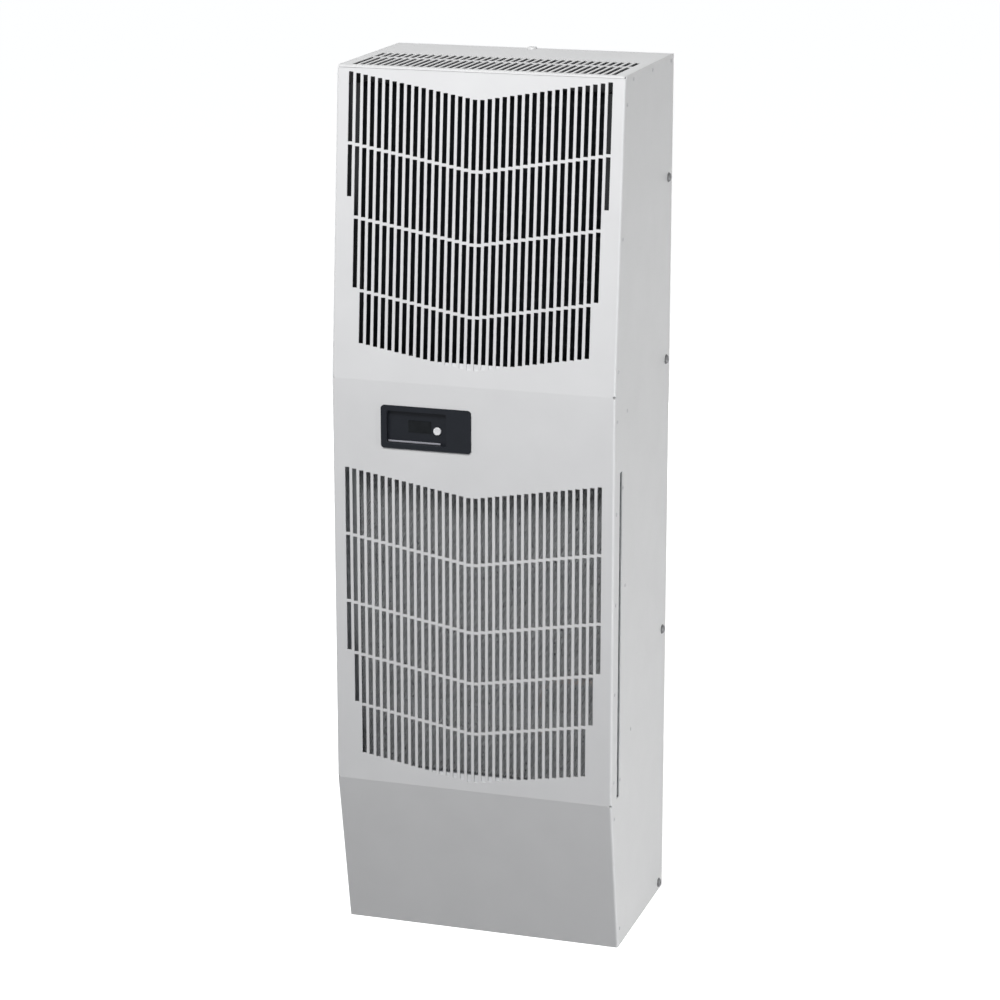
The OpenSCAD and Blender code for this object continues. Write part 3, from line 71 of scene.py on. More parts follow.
# Sizes inside the frame's nodes, as in the part: tubes in the fin packs, and gasket strips
TUBE_PITCH = 31.75 * MM
TUBE_ROW_GAP = 22 * MM
COLD_COIL_LEAN = math.radians(9)
GASKET_W = 16 * MM

# Sizes that the scene adds to the frame's
FIN_PITCH = 2.1 * MM
FIN_THICKNESS = 0.16 * MM
FIN_RIPPLES = 6
FIN_RIPPLE = 0.35 * MM
COLLAR_R = 5.0 * MM
MESH_STRAND_W = 1.5 * MM
MESH_STRAND_L = 13.0 * MM
MESH_STRAND_SHARE = (0.8, 1.05)
MESH_PITCH = 3.4 * MM
MESH_LEAN = math.radians(57)
MESH_CRINKLE = 0.5 * MM
MESH_TWIST = 0.1
MESH_TILT = 0.3
MESH_BACK_PITCH = 2.4 * MM
MESH_LAYER_GAP = 2.2 * MM
GASKET_EDGE = 0.8 * MM
FOAM_SWELL = 0.5 * MM
FOAM_SWELLS_PER_METRE = 14
FOAM_GRID = 25 * MM
FOAM_CUTS = 3

# Corners of the frame's meshes that lie closer than this are one
WELD = 0.005 * MM

# Sides of the turned forms
RIVET_SIDES = 20
BOLT_SIDES = 36
COLLAR_SIDES = 16
FINE_SIDES = 48

# The middle of the values that noise gives
NOISE_LOW = 0.3
NOISE_HIGH = 0.7

# Floor and surroundings, as seen and as they light the part
FLOOR_REACH = 30
FLOOR_GLOW = 0.88
FLOOR_PALE = 0.8
FLOOR_BOUNCE = 0.06
AMBIENT_TINT = (0.88, 0.94, 1.0)
AMBIENT_STRENGTH = 0.15


# Node helpers
def graph(name):
    """A new material, its node tree and its main shader."""
    material = bpy.data.materials.new(name)
    material.use_nodes = True
    tree = material.node_tree
    tree.nodes.clear()
    output = tree.nodes.new("ShaderNodeOutputMaterial")
    shader = tree.nodes.new("ShaderNodeBsdfPrincipled")
    tree.links.new(shader.outputs["BSDF"], output.inputs["Surface"])
    return material, tree, shader


def place(tree, stretch=(1, 1, 1)):
    """Object coordinates, stretched."""
    coords = tree.nodes.new("ShaderNodeTexCoord")
    mapping = tree.nodes.new("ShaderNodeMapping")
    mapping.inputs["Scale"].default_value = stretch
    tree.links.new(coords.outputs["Object"], mapping.inputs["Vector"])
    return mapping.outputs["Vector"]


def grain(tree, where, scale, detail=2, roughness=0.5):
    """Noise whose features are about 1 / scale metres across."""
    node = tree.nodes.new("ShaderNodeTexNoise")
    node.inputs["Scale"].default_value = scale
    node.inputs["Detail"].default_value = detail
    node.inputs["Roughness"].default_value = roughness
    tree.links.new(where, node.inputs["Vector"])
    return node.outputs["Fac"]


def cells(tree, where, scale):
    """The distance from the middle of cells about 1 / scale metres across."""
    node = tree.nodes.new("ShaderNodeTexVoronoi")
    node.inputs["Scale"].default_value = scale
    tree.links.new(where, node.inputs["Vector"])
    return node.outputs["Distance"]


def ramp(tree, value, stops):
    """A colour ramp: stops are (place, colour) pairs."""
    node = tree.nodes.new("ShaderNodeValToRGB")
    elements = node.color_ramp.elements
    while len(elements) < len(stops):
        elements.new(0.5)
    for element, (at, colour) in zip(elements, stops):
        element.position = at
        element.color = (*colour, 1)
    tree.links.new(value, node.inputs["Fac"])
    return node.outputs["Color"]


def between(tree, value, low, high):
    """A value that runs from low to high over the middle of the noise."""
    node = tree.nodes.new("ShaderNodeMapRange")
    node.inputs["From Min"].default_value = NOISE_LOW
    node.inputs["From Max"].default_value = NOISE_HIGH
    node.inputs["To Min"].default_value = low
    node.inputs["To Max"].default_value = high
    tree.links.new(value, node.inputs["Value"])
    return node.outputs["Result"]


def relief(tree, height, depth, strength, soft_edge=0.0, under=None):
    """A normal with bumps of a depth in metres: on edges rounded by soft_edge, or over another relief."""
    node = tree.nodes.new("ShaderNodeBump")
    node.inputs["Strength"].default_value = strength
    node.inputs["Distance"].default_value = depth
    tree.links.new(height, node.inputs["Height"])
    if soft_edge:
        bevel = tree.nodes.new("ShaderNodeBevel")
        bevel.samples = 4
        bevel.inputs["Radius"].default_value = soft_edge
        tree.links.new(bevel.outputs["Normal"], node.inputs["Normal"])
    if under:
        tree.links.new(under, node.inputs["Normal"])
    return node.outputs["Normal"]


def tinted(colour, share):
    """A colour made lighter or darker by a share."""
    return tuple(min(1.0, c * (1 + share)) for c in colour)


def spread_of(colour, share):
    """Stops that run from a darker to a lighter shade of a colour."""
    return [(NOISE_LOW, tinted(colour, -share)), (NOISE_HIGH, tinted(colour, share))]


# Finishes
def painted(name, colour, rough=0.46, peel=1.0, uneven=0.018):
    """Powder coat: a fine orange peel over sheet, barely uneven in tone."""
    material, tree, shader = graph(name)
    where = place(tree)
    tone = ramp(tree, grain(tree, where, 14, 4), spread_of(colour, uneven))
    tree.links.new(tone, shader.inputs["Base Color"])
    gloss = between(tree, grain(tree, where, 420, 2), rough - 0.05, rough + 0.05)
    tree.links.new(gloss, shader.inputs["Roughness"])
    coarse = relief(tree, grain(tree, where, 520, 1), 0.05 * MM * peel, 0.55, soft_edge=0.5 * MM)
    fine = relief(tree, grain(tree, where, 1500, 2), 0.02 * MM * peel, 0.4, under=coarse)
    tree.links.new(fine, shader.inputs["Normal"])
    shader.inputs["Specular IOR Level"].default_value = 0.42
    return material


def galvanised(name, colour):
    """Zinc coated sheet with dull spangles and a faint rolling direction."""
    material, tree, shader = graph(name)
    where = place(tree)
    spangle = cells(tree, where, 95)
    tone = ramp(tree, spangle, [(0.0, tinted(colour, 0.14)), (0.9, tinted(colour, -0.16))])
    tree.links.new(tone, shader.inputs["Base Color"])
    gloss = between(tree, grain(tree, where, 60, 4), 0.34, 0.52)
    tree.links.new(gloss, shader.inputs["Roughness"])
    rolled = grain(tree, place(tree, (1, 1, 30)), 90, 3)
    bumps = relief(tree, rolled, 0.03 * MM, 0.4, soft_edge=0.3 * MM)
    tree.links.new(bumps, shader.inputs["Normal"])
    shader.inputs["Metallic"].default_value = 0.9
    return material


def metal(
    name, colour, rough=0.32, stretch=(1, 1, 1), scale=240, uneven=0.1, soft_edge=0.3 * MM, bare=1.0
):
    """Bare or plated metal, brushed along the axis that stretch keeps short; bare is how metallic."""
    material, tree, shader = graph(name)
    where = place(tree, stretch)
    tone = ramp(tree, grain(tree, where, scale, 5, 0.6), spread_of(colour, uneven))
    tree.links.new(tone, shader.inputs["Base Color"])
    gloss = between(tree, grain(tree, where, scale * 1.7, 3), rough - 0.08, rough + 0.1)
    tree.links.new(gloss, shader.inputs["Roughness"])
    scratches = relief(tree, grain(tree, where, scale * 2.5, 2), 0.02 * MM, 0.5, soft_edge=soft_edge)
    tree.links.new(scratches, shader.inputs["Normal"])
    shader.inputs["Metallic"].default_value = bare
    return material


def aged_copper(name, colour):
    """Drawn copper, dulled in patches."""
    material, tree, shader = graph(name)
    where = place(tree)
    dull = (colour[0] * 0.6, colour[1] * 0.8, colour[2] * 0.9)
    tone = ramp(tree, grain(tree, where, 55, 6, 0.65), [(0.35, dull), (0.62, colour)])
    tree.links.new(tone, shader.inputs["Base Color"])
    gloss = between(tree, grain(tree, where, 160, 4), 0.24, 0.5)
    tree.links.new(gloss, shader.inputs["Roughness"])
    dents = relief(tree, grain(tree, where, 300, 2), 0.03 * MM, 0.4)
    tree.links.new(dents, shader.inputs["Normal"])
    shader.inputs["Metallic"].default_value = 1.0
    return material


def moulded(name, colour, rough=0.5, depth=0.03, scale=1300, soft_edge=0.4 * MM, shine=0.5):
    """Moulded plastic with an etched grain and a rounded arris."""
    material, tree, shader = graph(name)
    where = place(tree)
    tone = ramp(tree, grain(tree, where, 45, 5), spread_of(colour, 0.07))
    tree.links.new(tone, shader.inputs["Base Color"])
    gloss = between(tree, grain(tree, where, scale * 0.6, 2), rough - 0.06, rough + 0.07)
    tree.links.new(gloss, shader.inputs["Roughness"])
    etched = relief(tree, cells(tree, where, scale), depth * MM, 0.5, soft_edge=soft_edge)
    tree.links.new(etched, shader.inputs["Normal"])
    shader.inputs["Specular IOR Level"].default_value = shine
    return material


def foamed(name, colour):
    """Closed cell foam or sponge rubber: fine pores and no gloss."""
    material, tree, shader = graph(name)
    where = place(tree)
    tone = ramp(tree, grain(tree, where, 700, 3), spread_of(colour, 0.3))
    tree.links.new(tone, shader.inputs["Base Color"])
    pores = relief(tree, cells(tree, where, 900), 0.12 * MM, 0.8)
    tree.links.new(pores, shader.inputs["Normal"])
    gloss = between(tree, grain(tree, where, 350, 2), 0.82, 0.95)
    tree.links.new(gloss, shader.inputs["Roughness"])
    shader.inputs["Sheen Weight"].default_value = 0.15
    return material


def smoked_window(name, colour):
    """A dark glossy window with a faint tint and fine wipe marks."""
    material, tree, shader = graph(name)
    tone = ramp(tree, grain(tree, place(tree), 80, 3), spread_of(colour, 0.2))
    tree.links.new(tone, shader.inputs["Base Color"])
    gloss = between(tree, grain(tree, place(tree, (1, 1, 12)), 140, 4), 0.09, 0.17)
    tree.links.new(gloss, shader.inputs["Roughness"])
    shader.inputs["Specular IOR Level"].default_value = 0.08
    return material


def enamelled(name, colour, rough=0.28):
    """Thick enamel over a pressed or cast shell."""
    material, tree, shader = graph(name)
    where = place(tree)
    tone = ramp(tree, grain(tree, where, 40, 4), spread_of(colour, 0.15))
    tree.links.new(tone, shader.inputs["Base Color"])
    gloss = between(tree, grain(tree, where, 90, 3), rough, rough + 0.14)
    tree.links.new(gloss, shader.inputs["Roughness"])
    runs = relief(tree, grain(tree, where, 160, 2), 0.08 * MM, 0.5, soft_edge=0.5 * MM)
    tree.links.new(runs, shader.inputs["Normal"])
    shader.inputs["Coat Weight"].default_value = 0.25
    return material


# One finish for each material slot of the record
FINISHES = {
    "front_paint": lambda n: painted(n, (0.735, 0.735, 0.742)),
    # Sides and top carry the front's light grey coat. Their darker tone is painted shade, set against the
    # stronger light that falls on the top.
    "case_paint": lambda n: painted(n, (0.655, 0.655, 0.655)),
    "baffle_paint": lambda n: painted(n, (0.76, 0.765, 0.775), peel=0.6),
    "rivet_paint": lambda n: painted(n, (0.56, 0.56, 0.57), rough=0.4, peel=0.4),
    "zinc_sheet": lambda n: galvanised(n, (0.52, 0.54, 0.56)),
    "zinc_fastener": lambda n: metal(n, (0.17, 0.172, 0.176), rough=0.5, scale=600, bare=0.6),
    "filter_aluminium": lambda n: metal(n, (0.34, 0.35, 0.36), rough=0.42, stretch=(1, 8, 8)),
    "filter_wire": lambda n: metal(
        n, (0.48, 0.49, 0.5), rough=0.5, scale=320, uneven=0.25, soft_edge=0, bare=0.3
    ),
    "foam": lambda n: foamed(n, (0.045, 0.046, 0.05)),
    "gasket_rubber": lambda n: foamed(n, (0.028, 0.028, 0.03)),
    "rubber": lambda n: moulded(n, (0.02, 0.02, 0.02), rough=0.72, depth=0.05, scale=700),
    "bezel_plastic": lambda n: moulded(n, (0.0125, 0.0145, 0.019), rough=0.44, shine=0.14),
    "dark_plastic": lambda n: moulded(n, (0.05, 0.053, 0.057), rough=0.5),
    # Sheets inside the condenser side: dark paint, made near black as painted shade for the dark inside
    # seen through the grilles.
    "dark_sheet": lambda n: painted(n, (0.018, 0.019, 0.021), rough=0.5, peel=0.6),
    "black_plastic": lambda n: moulded(n, (0.018, 0.018, 0.02), rough=0.46, scale=900),
    "button_plastic": lambda n: moulded(n, (0.8, 0.8, 0.82), rough=0.36, depth=0.01),
    "ivory_plastic": lambda n: moulded(n, (0.66, 0.63, 0.55), rough=0.42),
    "pan_plastic": lambda n: moulded(n, (0.7, 0.71, 0.71), rough=0.4, depth=0.02),
    "ledge_silver": lambda n: metal(n, (0.28, 0.28, 0.31), rough=0.34, stretch=(0.05, 1, 1), scale=900),
    "display_glass": lambda n: smoked_window(n, (0.011, 0.013, 0.015)),
    "aluminium_can": lambda n: metal(n, (0.66, 0.67, 0.68), rough=0.3, stretch=(1, 1, 0.1)),
    "dark_fins": lambda n: metal(n, (0.055, 0.062, 0.068), rough=0.5, stretch=(1, 1, 0.2), soft_edge=0),
    "fins": lambda n: metal(n, (0.6, 0.62, 0.64), rough=0.36, stretch=(1, 1, 0.2), soft_edge=0),
    "wheel_aluminium": lambda n: metal(n, (0.6, 0.61, 0.63), rough=0.34, scale=160),
    "motor_casting": lambda n: metal(n, (0.4, 0.41, 0.43), rough=0.5, scale=480, uneven=0.2),
    "bright_wire": lambda n: metal(n, (0.74, 0.75, 0.77), rough=0.18, scale=500, uneven=0.05),
    "copper": lambda n: aged_copper(n, (0.68, 0.34, 0.2)),
    "drier_paint": lambda n: aged_copper(n, (0.5, 0.26, 0.16)),
    "valve_brass": lambda n: metal(n, (0.68, 0.5, 0.22), rough=0.28, scale=500),
    "motor_paint": lambda n: enamelled(n, (0.04, 0.042, 0.046), rough=0.4),
    "compressor_paint": lambda n: enamelled(n, (0.014, 0.014, 0.015)),
}
MATERIALS = {m["slot"]: FINISHES[m["slot"]](m["slot"]) for m in RECORD["materials"]}
SLOT_OF = {s["node"]: s["material_slot"] for s in RECORD["subparts"]}


def finish_nodes():
    """Gives the frame's own nodes their finishes."""
    for name, node in NODES.items():
        for slot in node.material_slots:
            slot.material = MATERIALS[SLOT_OF[name]]


# Mesh helpers
def add_piece(name, mesh, slot, body, *replaced):
    """A mesh as a piece that rides on a body and stands for some nodes."""
    obj = bpy.data.objects.new(name, mesh)
    bpy.context.scene.collection.objects.link(obj)
    mesh.materials.append(MATERIALS[slot])
    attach(obj, body)
    if replaced:
        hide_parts(*replaced)


def mesh_from(name, vertices, faces):
    mesh = bpy.data.meshes.new(name)
    mesh.from_pydata(vertices, [], faces)
    mesh.update()
    return mesh


def islands(node):
    """Lowest and highest corner of each separate solid of a node, in a fixed order."""
    bm = bmesh.new()
    bm.from_mesh(NODES[node].data)
    bmesh.ops.remove_doubles(bm, verts=bm.verts, dist=WELD)
    unseen = set(bm.verts)
    boxes = []
    while unseen:
        stack = [unseen.pop()]
        group = []
        while stack:
            vertex = stack.pop()
            group.append(vertex.co.copy())
            for edge in vertex.link_edges:
                other = edge.other_vert(vertex)
                if other in unseen:
                    unseen.remove(other)
                    stack.append(other)
        low = Vector(min(p[i] for p in group) for i in range(3))
        high = Vector(max(p[i] for p in group) for i in range(3))
        boxes.append((low, high))
    bm.free()
    return sorted(boxes, key=lambda box: [round(value, 4) for value in box[0]])


def scaled(profile):
    """A profile in millimetres, in metres."""
    return [(radius * MM, height * MM, sides) for radius, height, sides in profile]


def rings(profile, segments, place_at):
    """Corners of a turned form, whose profile holds (radius, height, sides): sides of 0 is round.

    place_at is a matrix that takes the form's own Z to where it stands."""
    corners = []
    for radius, height, sides in profile:
        for k in range(segments):
            turn = 2 * math.pi * k / segments
            reach = radius
            if sides:
                wedge = math.pi / sides
                reach = radius / math.cos((turn + wedge) % (2 * wedge) - wedge)
            corner = Vector((reach * math.cos(turn), reach * math.sin(turn), height))
            corners.append(place_at @ corner)
    return corners


def turned(profile, segments, place_at, vertices, faces):
    """Adds a turned form, closed by its first and its last ring."""
    start = len(vertices)
    vertices.extend(rings(profile, segments, place_at))
    for row in range(len(profile) - 1):
        for k in range(segments):
            a = start + row * segments + k
            b = start + row * segments + (k + 1) % segments
            faces.append((a, b, b + segments, a + segments))
    faces.append(tuple(start + k for k in reversed(range(segments))))
    last = start + (len(profile) - 1) * segments
    faces.append(tuple(last + k for k in range(segments)))


def closed_ring(name, profile, segments, place_at):
    """A mesh whose profile runs round the section and ends where it starts."""
    faces = []
    rows = len(profile)
    for row in range(rows):
        for k in range(segments):
            a = row * segments + k
            b = row * segments + (k + 1) % segments
            c = (row + 1) % rows * segments + (k + 1) % segments
            d = (row + 1) % rows * segments + k
            faces.append((a, b, c, d))
    return mesh_from(name, rings(profile, segments, place_at), faces)


def standing_out(x, y, z, side):
    """A place on a side wall, with Z pointing out of the wall."""
    return Matrix.Translation((x, y, z)) @ Matrix.Rotation(side * math.pi / 2, 4, "Y")


# Fasteners of the sides, in millimetres
RIVET_PROFILE = [(3.0, 0, 0), (2.95, 0.2, 0), (2.6, 0.5, 0), (1.9, 0.72, 0), (1.2, 0.8, 0)]
RIVET_DIMPLE = [(1.05, 0.72, 0), (0.95, 0.45, 0), (0.4, 0.5, 0)]
BOLT_WASHER = [(7.4, 0, 0), (7.5, 0.15, 0), (7.5, 0.65, 0), (7.3, 0.8, 0), (6.5, 0.82, 0)]
BOLT_HEAD = [(6.4, 0.95, 0), (6.45, 1.4, 0), (6.1, 2.3, 0), (5.4, 3.1, 0), (4.4, 3.6, 0), (3.4, 3.79, 0)]
BOLT_SOCKET = [(2.3, 3.79, 6), (2.1, 3.6, 6), (2.1, 1.9, 6), (0.6, 1.6, 6)]


def side_fasteners(node, profile, segments, slot):
    """A detailed fastener in place of each solid of a node, turned at random."""
    vertices, faces = [], []
    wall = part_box("left_side_panel")[0][0]
    for low, high in islands(node):
        middle = (low + high) / 2
        side = 1 if middle.x > 0 else -1
        at = standing_out(-side * wall, middle.y, middle.z, side)
        turn = Matrix.Rotation(random.uniform(0, 1), 4, "Z")
        turned(scaled(profile), segments, at @ turn, vertices, faces)
    name = node + "_detailed"
    add_piece(name, mesh_from(name, vertices, faces), slot, "chassis", node)


# Fin packs
def fin_pack(name, low, high, slot, node, place_at, tubes):
    """Thin rippled fins between two corners, with collars round the tubes (places across and up)."""
    count = int((high.x - low.x) / FIN_PITCH)
    vertices, faces = [], []
    rows = FIN_RIPPLES + 1
    for k in range(count):
        x = low.x + (k + 0.5) * (high.x - low.x) / count
        start = len(vertices)
        for face in (-0.5, 0.5):
            for j in range(rows):
                y = low.y + (high.y - low.y) * j / FIN_RIPPLES
                shift = FIN_RIPPLE * (-1) ** j * 0.5 + face * FIN_THICKNESS
                vertices.append(place_at @ Vector((x + shift, y, low.z)))
                vertices.append(place_at @ Vector((x + shift, y, high.z)))
        other = start + 2 * rows
        for j in range(FIN_RIPPLES):
            a = start + 2 * j
            b = other + 2 * j
            faces.append((a, a + 1, a + 3, a + 2))
            faces.append((b, b + 2, b + 3, b + 1))
        for j in (0, FIN_RIPPLES):
            a = start + 2 * j
            b = other + 2 * j
            faces.append((a, b, b + 1, a + 1) if j == 0 else (a, a + 1, b + 1, b))
    for y, z in tubes:
        along = Matrix.Translation((low.x, y, z)) @ Matrix.Rotation(math.pi / 2, 4, "Y")
        profile = [(COLLAR_R, 0, 0), (COLLAR_R, high.x - low.x, 0)]
        turned(profile, COLLAR_SIDES, place_at @ along, vertices, faces)
    add_piece(name, mesh_from(name, vertices, faces), slot, "chassis", node)


def coil_fins():
    low, high = (Vector(c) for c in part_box("condenser_fins"))
    rows = round((high.z - low.z) / TUBE_PITCH)
    middle = (low.y + high.y) / 2
    tubes = [
        (middle + side * TUBE_ROW_GAP / 2, low.z + (k + 0.5) * TUBE_PITCH)
        for side in (-1, 1) for k in range(rows)
    ]
    fin_pack("condenser_fin_pack", low, high, "dark_fins", "condenser_fins", Matrix(), tubes)
    # The evaporator's pack is as deep, and leans to the rear
    depth = high.y - low.y
    lean = COLD_COIL_LEAN
    cold_low, cold_high = (Vector(c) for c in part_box("evaporator_fins"))
    height = (cold_high.z - cold_low.z - depth * math.sin(lean)) / math.cos(lean)
    foot = (0, cold_low.y, cold_high.z - height * math.cos(lean))
    place_at = Matrix.Translation(foot) @ Matrix.Rotation(-lean, 4, "X")
    corner = Vector((cold_low.x, 0, 0))
    far = Vector((cold_high.x, depth, height))
    fin_pack("evaporator_fin_pack", corner, far, "fins", "evaporator_fins", place_at, [])


# Filter: layers of crinkled aluminium strands, which lean one way and then the other
def kept_part(a, b, low, high):
    """The ends of the part of a strand that lies between two corners, or None."""
    start, end = 0, 1
    for i in (0, 2):
        run = b[i] - a[i]
        near, far = sorted(((low[i] - a[i]) / run, (high[i] - a[i]) / run))
        start, end = max(start, near), min(end, far)
    if start >= end:
        return None
    return a + (b - a) * start, a + (b - a) * end


def strand_layer(low, high, depth, lean, tilt, pitch, vertices, faces):
    """Short flat strands side by side, at a depth; tilt turns their faces up or down."""
    along = Vector((math.cos(lean), 0, math.sin(lean)))
    across = Vector((-along.z, 0, along.x))
    edge = Vector((MESH_STRAND_W, 0, MESH_STRAND_W)) / 2
    middle = (low + high) / 2
    reach = (high - low).length / 2
    rows = int(reach / pitch)
    steps = int(reach / MESH_STRAND_L) + 1
    for row in range(-rows, rows + 1):
        slide = random.uniform(0, MESH_STRAND_L)
        for step in range(-steps, steps):
            a = middle + across * row * pitch + along * (step * MESH_STRAND_L + slide)
            b = a + along * MESH_STRAND_L * random.uniform(*MESH_STRAND_SHARE)
            twist = Vector((0, (tilt + random.uniform(-MESH_TWIST, MESH_TWIST)) * MESH_STRAND_W, 0))
            bow = Vector((0, random.uniform(-MESH_CRINKLE, MESH_CRINKLE), 0))
            ends = kept_part(a, b, low + edge, high - edge)
            if ends is None:
                continue
            half = across * MESH_STRAND_W / 2 + twist
            a, b = (Vector((point.x, depth, point.z)) for point in ends)
            start = len(vertices)
            vertices.extend((a + bow - half, a + bow + half, b - bow + half, b - bow - half))
            faces.append((start, start + 1, start + 2, start + 3))


def filter_layers():
    low, high = (Vector(c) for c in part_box("filter_mesh"))
    middle = (low.y + high.y) / 2
    vertices, faces = [], []
    layers = [
        (middle - MESH_LAYER_GAP, MESH_LEAN, MESH_TILT, MESH_PITCH),
        (middle, -MESH_LEAN, -MESH_TILT, MESH_PITCH),
        (middle + MESH_LAYER_GAP, MESH_LEAN, 0, MESH_BACK_PITCH),
    ]
    for depth, lean, tilt, pitch in layers:
        strand_layer(low, high, depth, lean, tilt, pitch, vertices, faces)
    mesh = mesh_from("filter_mesh_layers", vertices, faces)
    add_piece("filter_mesh_layers", mesh, "filter_wire", "filter", "filter_mesh")


# Gasket round the rear panel
def soft_strip(name, low, high, *replaced):
    """A strip of sponge rubber with rounded edges."""
    bm = bmesh.new()
    bmesh.ops.create_cube(bm, size=1)
    for vertex in bm.verts:
        vertex.co = Vector(low[i] + (high[i] - low[i]) * (vertex.co[i] + 0.5) for i in range(3))
    bmesh.ops.bevel(bm, geom=list(bm.edges), offset=GASKET_EDGE, segments=3, profile=0.6, affect="EDGES")
    mesh = bpy.data.meshes.new(name)
    bm.to_mesh(mesh)
    bm.free()
    mesh.polygons.foreach_set("use_smooth", [True] * len(mesh.polygons))
    add_piece(name, mesh, "gasket_rubber", "chassis", *replaced)


def gasket_strips():
    low, high = (Vector(c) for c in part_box("gasket"))
    # The corners of each strip, as places across and up
    spans = {
        "gasket_left": ((low.x, low.z), (low.x + GASKET_W, high.z)),
        "gasket_right": ((high.x - GASKET_W, low.z), (high.x, high.z)),
        "gasket_bottom": ((low.x + GASKET_W, low.z), (high.x - GASKET_W, low.z + GASKET_W)),
        "gasket_top": ((low.x + GASKET_W, high.z - GASKET_W), (high.x - GASKET_W, high.z)),
    }
    for name, (a, b) in spans.items():
        replaced = ["gasket"] if name == "gasket_left" else []
        soft_strip(name, (a[0], low.y, a[1]), (b[0], high.y, b[1]), *replaced)


# Cable gland, in millimetres: a hexagonal nut round a rubber seal
GLAND_BODY = [(6.0, -24, 0), (10, -24, 0), (10, 0, 0)]
GLAND_NUT = [(12.0, 0, 6), (12.6, 0.5, 6), (12.6, 1.7, 6), (11.4, 2.4, 6)]
GLAND_SEAL = [(9.4, 2.4, 0), (9.2, 1.5, 0), (7.4, 1.3, 0), (6.2, 1.9, 0), (6.0, 1.4, 0), (6.0, -24, 0)]


def cable_gland():
    low, high = (Vector(c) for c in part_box("cable_gland"))
    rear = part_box("rear_panel")[1][1]
    middle = (low + high) / 2
    at = Matrix.Translation((middle.x, rear, middle.z)) @ Matrix.Rotation(-math.pi / 2, 4, "X")
    section = scaled(GLAND_BODY + GLAND_NUT + GLAND_SEAL)
    mesh = closed_ring("cable_gland_nut", section, FINE_SIDES, at)
    add_piece("cable_gland_nut", mesh, "black_plastic", "chassis", "cable_gland")


# Foam on the partition, from the frame's own sheet
def partition_foam():
    bm = bmesh.new()
    bm.from_mesh(NODES["partition_foam"].data)
    bmesh.ops.remove_doubles(bm, verts=bm.verts, dist=WELD)
    bmesh.ops.dissolve_limit(bm, angle_limit=0.01, verts=bm.verts, edges=bm.edges)
    bmesh.ops.triangulate(bm, faces=bm.faces)
    for _ in range(FOAM_CUTS):
        long_edges = [e for e in bm.edges if e.calc_length() > FOAM_GRID]
        bmesh.ops.subdivide_edges(bm, edges=long_edges, cuts=1, use_grid_fill=True)
        bmesh.ops.triangulate(bm, faces=bm.faces)
    high = Vector(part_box("partition_foam")[1])
    for vertex in bm.verts:
        if vertex.co.y > high.y - FOAM_SWELL:
            wave = noise.noise(vertex.co * FOAM_SWELLS_PER_METRE)
            vertex.co.y -= FOAM_SWELL * (0.5 + 0.5 * wave)
    mesh = bpy.data.meshes.new("partition_foam_sheet")
    bm.to_mesh(mesh)
    bm.free()
    add_piece("partition_foam_sheet", mesh, "foam", "chassis", "partition_foam")


# Push button, in millimetres: a shallow dish with a rounded rim, on a stem
BUTTON_STEM = [(3.0, -6, 0), (3.0, -2, 0), (6.0, -2, 0)]
BUTTON_RIM = [(6.0, 0, 0), (6.0, 0.9, 0), (5.85, 1.5, 0), (5.5, 1.95, 0), (5.0, 2.18, 0), (4.4, 2.2, 0)]
BUTTON_DISH = [(3.2, 2.05, 0), (1.6, 1.93, 0), (0.4, 1.9, 0)]


def push_button():
    low, high = (Vector(c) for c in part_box("push_button"))
    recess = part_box("display_window")[1][1]
    middle = (low + high) / 2
    at = Matrix.Translation((middle.x, recess, middle.z)) @ Matrix.Rotation(math.pi / 2, 4, "X")
    vertices, faces = [], []
    turned(scaled(BUTTON_STEM), FINE_SIDES, at, vertices, faces)
    turned(scaled(BUTTON_RIM + BUTTON_DISH), FINE_SIDES, at, vertices, faces)
    mesh = mesh_from("push_button_cap", vertices, faces)
    add_piece("push_button_cap", mesh, "button_plastic", "button", "push_button")


# Floor, backdrop, lights and camera
def shows_itself(tree):
    """1 for rays that show the background itself: camera, glossy and transmission rays."""
    path = tree.nodes.new("ShaderNodeLightPath")
    total = None
    for name in ("Is Camera Ray", "Is Glossy Ray", "Is Transmission Ray"):
        if total is None:
            total = path.outputs[name]
            continue
        node = tree.nodes.new("ShaderNodeMath")
        node.operation = "MAXIMUM"
        tree.links.new(total, node.inputs[0])
        tree.links.new(path.outputs[name], node.inputs[1])
        total = node.outputs[0]
    return total


def lit_and_shown(tree, lit, shown, output):
    """Joins what lights the part with what the background shows."""
    mix = tree.nodes.new("ShaderNodeMixShader")
    tree.links.new(shows_itself(tree), mix.inputs[0])
    tree.links.new(lit.outputs[0], mix.inputs[1])
    tree.links.new(shown.outputs[0], mix.inputs[2])
    tree.links.new(mix.outputs[0], output.inputs["Surface"])


def floor():
    reach = FLOOR_REACH
    corners = [(-reach, -reach, 0), (reach, -reach, 0), (reach, reach, 0), (-reach, reach, 0)]
    mesh = mesh_from("floor", corners, [(0, 1, 2, 3)])
    obj = bpy.data.objects.new("floor", mesh)
    bpy.context.scene.collection.objects.link(obj)
    material = bpy.data.materials.new("floor")
    material.use_nodes = True
    tree = material.node_tree
    tree.nodes.clear()
    output = tree.nodes.new("ShaderNodeOutputMaterial")
    shown = tree.nodes.new("ShaderNodeAddShader")
    glow = tree.nodes.new("ShaderNodeEmission")
    pale = tree.nodes.new("ShaderNodeBsdfDiffuse")
    bounce = tree.nodes.new("ShaderNodeBsdfDiffuse")
    glow.inputs["Color"].default_value = (1, 1, 1, 1)
    glow.inputs["Strength"].default_value = FLOOR_GLOW
    pale.inputs["Color"].default_value = (FLOOR_PALE, FLOOR_PALE, FLOOR_PALE, 1)
    bounce.inputs["Color"].default_value = (FLOOR_BOUNCE, FLOOR_BOUNCE, FLOOR_BOUNCE, 1)
    tree.links.new(glow.outputs[0], shown.inputs[0])
    tree.links.new(pale.outputs[0], shown.inputs[1])
    lit_and_shown(tree, bounce, shown, output)
    mesh.materials.append(material)


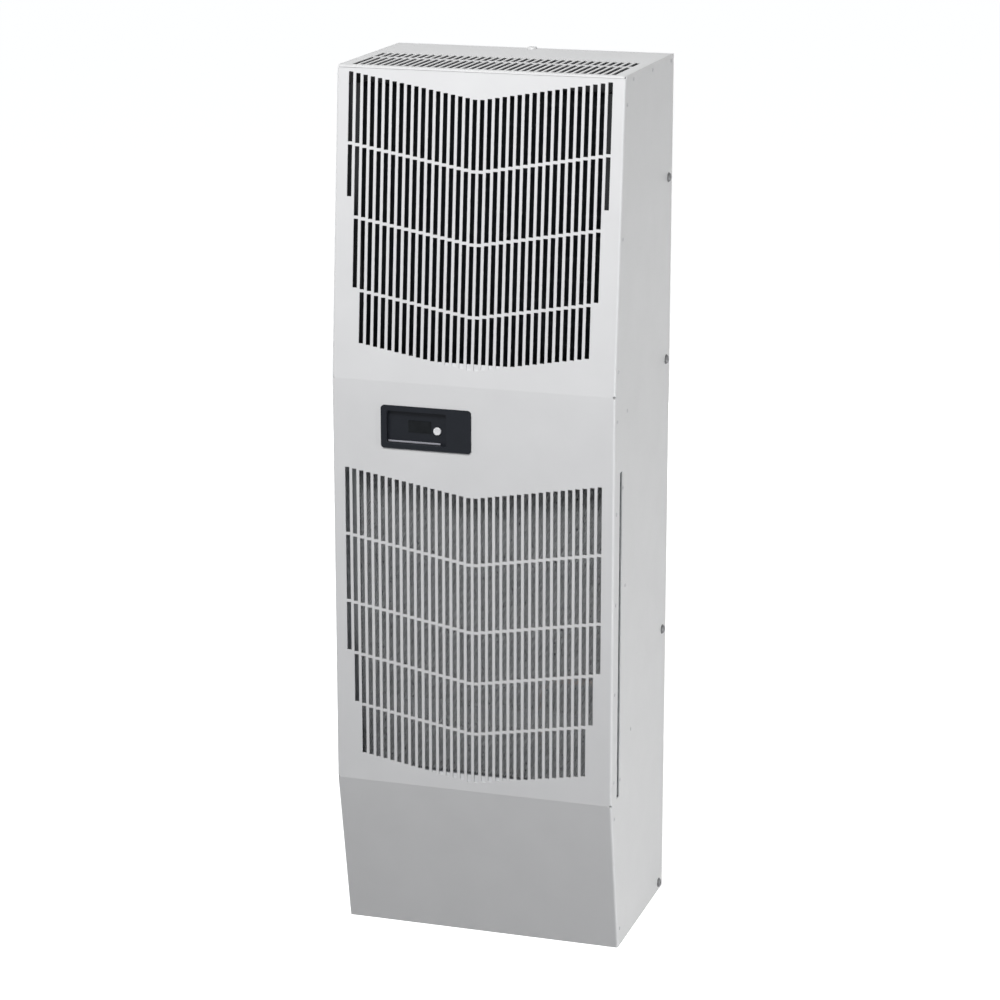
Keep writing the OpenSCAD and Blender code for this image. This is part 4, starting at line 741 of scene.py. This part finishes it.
def world():
    sky = bpy.data.worlds.new("studio")
    bpy.context.scene.world = sky
    sky.use_nodes = True
    tree = sky.node_tree
    tree.nodes.clear()
    output = tree.nodes.new("ShaderNodeOutputWorld")
    ambient = tree.nodes.new("ShaderNodeBackground")
    white = tree.nodes.new("ShaderNodeBackground")
    ambient.inputs["Color"].default_value = (*AMBIENT_TINT, 1)
    ambient.inputs["Strength"].default_value = AMBIENT_STRENGTH
    white.inputs["Color"].default_value = (1, 1, 1, 1)
    white.inputs["Strength"].default_value = 1
    lit_and_shown(tree, ambient, white, output)


def softbox(name, at, target, size, power):
    """A rectangular lamp, turned to a target; size in metres and power in watts."""
    light = bpy.data.lights.new(name, "AREA")
    light.shape = "RECTANGLE"
    light.size, light.size_y = size
    light.energy = power
    obj = bpy.data.objects.new(name, light)
    bpy.context.scene.collection.objects.link(obj)
    obj.location = at
    obj.rotation_euler = (Vector(target) - Vector(at)).to_track_quat("-Z", "Y").to_euler()


def lights():
    middle = (0, 0, 0.7)
    softbox("key", (-0.1, -2.1, 2.9), (0, 0, 0.9), (1.6, 1.0), 72)
    softbox("front", (1.0, -3.3, 1.6), middle, (2.0, 1.4), 14)
    softbox("right", (2.6, -0.3, 0.1), (0, 0, 0.0), (1.4, 0.6), 56)
    softbox("left", (-3.4, -0.6, 1.0), middle, (1.4, 2.0), 16)
    softbox("rear", (-0.2, 3.4, 0.6), middle, (1.6, 1.0), 26)
    softbox("top", (-0.6, 1.0, 2.9), (0, 0, 1.3), (1.2, 1.2), 6)


def camera():
    data = bpy.data.cameras.new("camera")
    data.sensor_width = 36
    data.lens = VIEW_LENS
    obj = bpy.data.objects.new("camera", data)
    bpy.context.scene.collection.objects.link(obj)
    back = Vector((
        math.sin(VIEW_AZIMUTH) * math.cos(VIEW_ELEVATION),
        -math.cos(VIEW_AZIMUTH) * math.cos(VIEW_ELEVATION),
        math.sin(VIEW_ELEVATION),
    ))
    obj.location = VIEW_TARGET + back * VIEW_DISTANCE
    obj.rotation_euler = (-back).to_track_quat("-Z", "Y").to_euler()
    bpy.context.scene.camera = obj


finish_nodes()
side_fasteners("rivets", RIVET_PROFILE + RIVET_DIMPLE, RIVET_SIDES, "rivet_paint")
side_fasteners("side_bolts", BOLT_WASHER + BOLT_HEAD + BOLT_SOCKET, BOLT_SIDES, "zinc_fastener")
coil_fins()
filter_layers()
gasket_strips()
cable_gland()
partition_foam()
push_button()
floor()
world()
lights()
camera()
bpy.context.scene.view_settings.view_transform = "Standard"
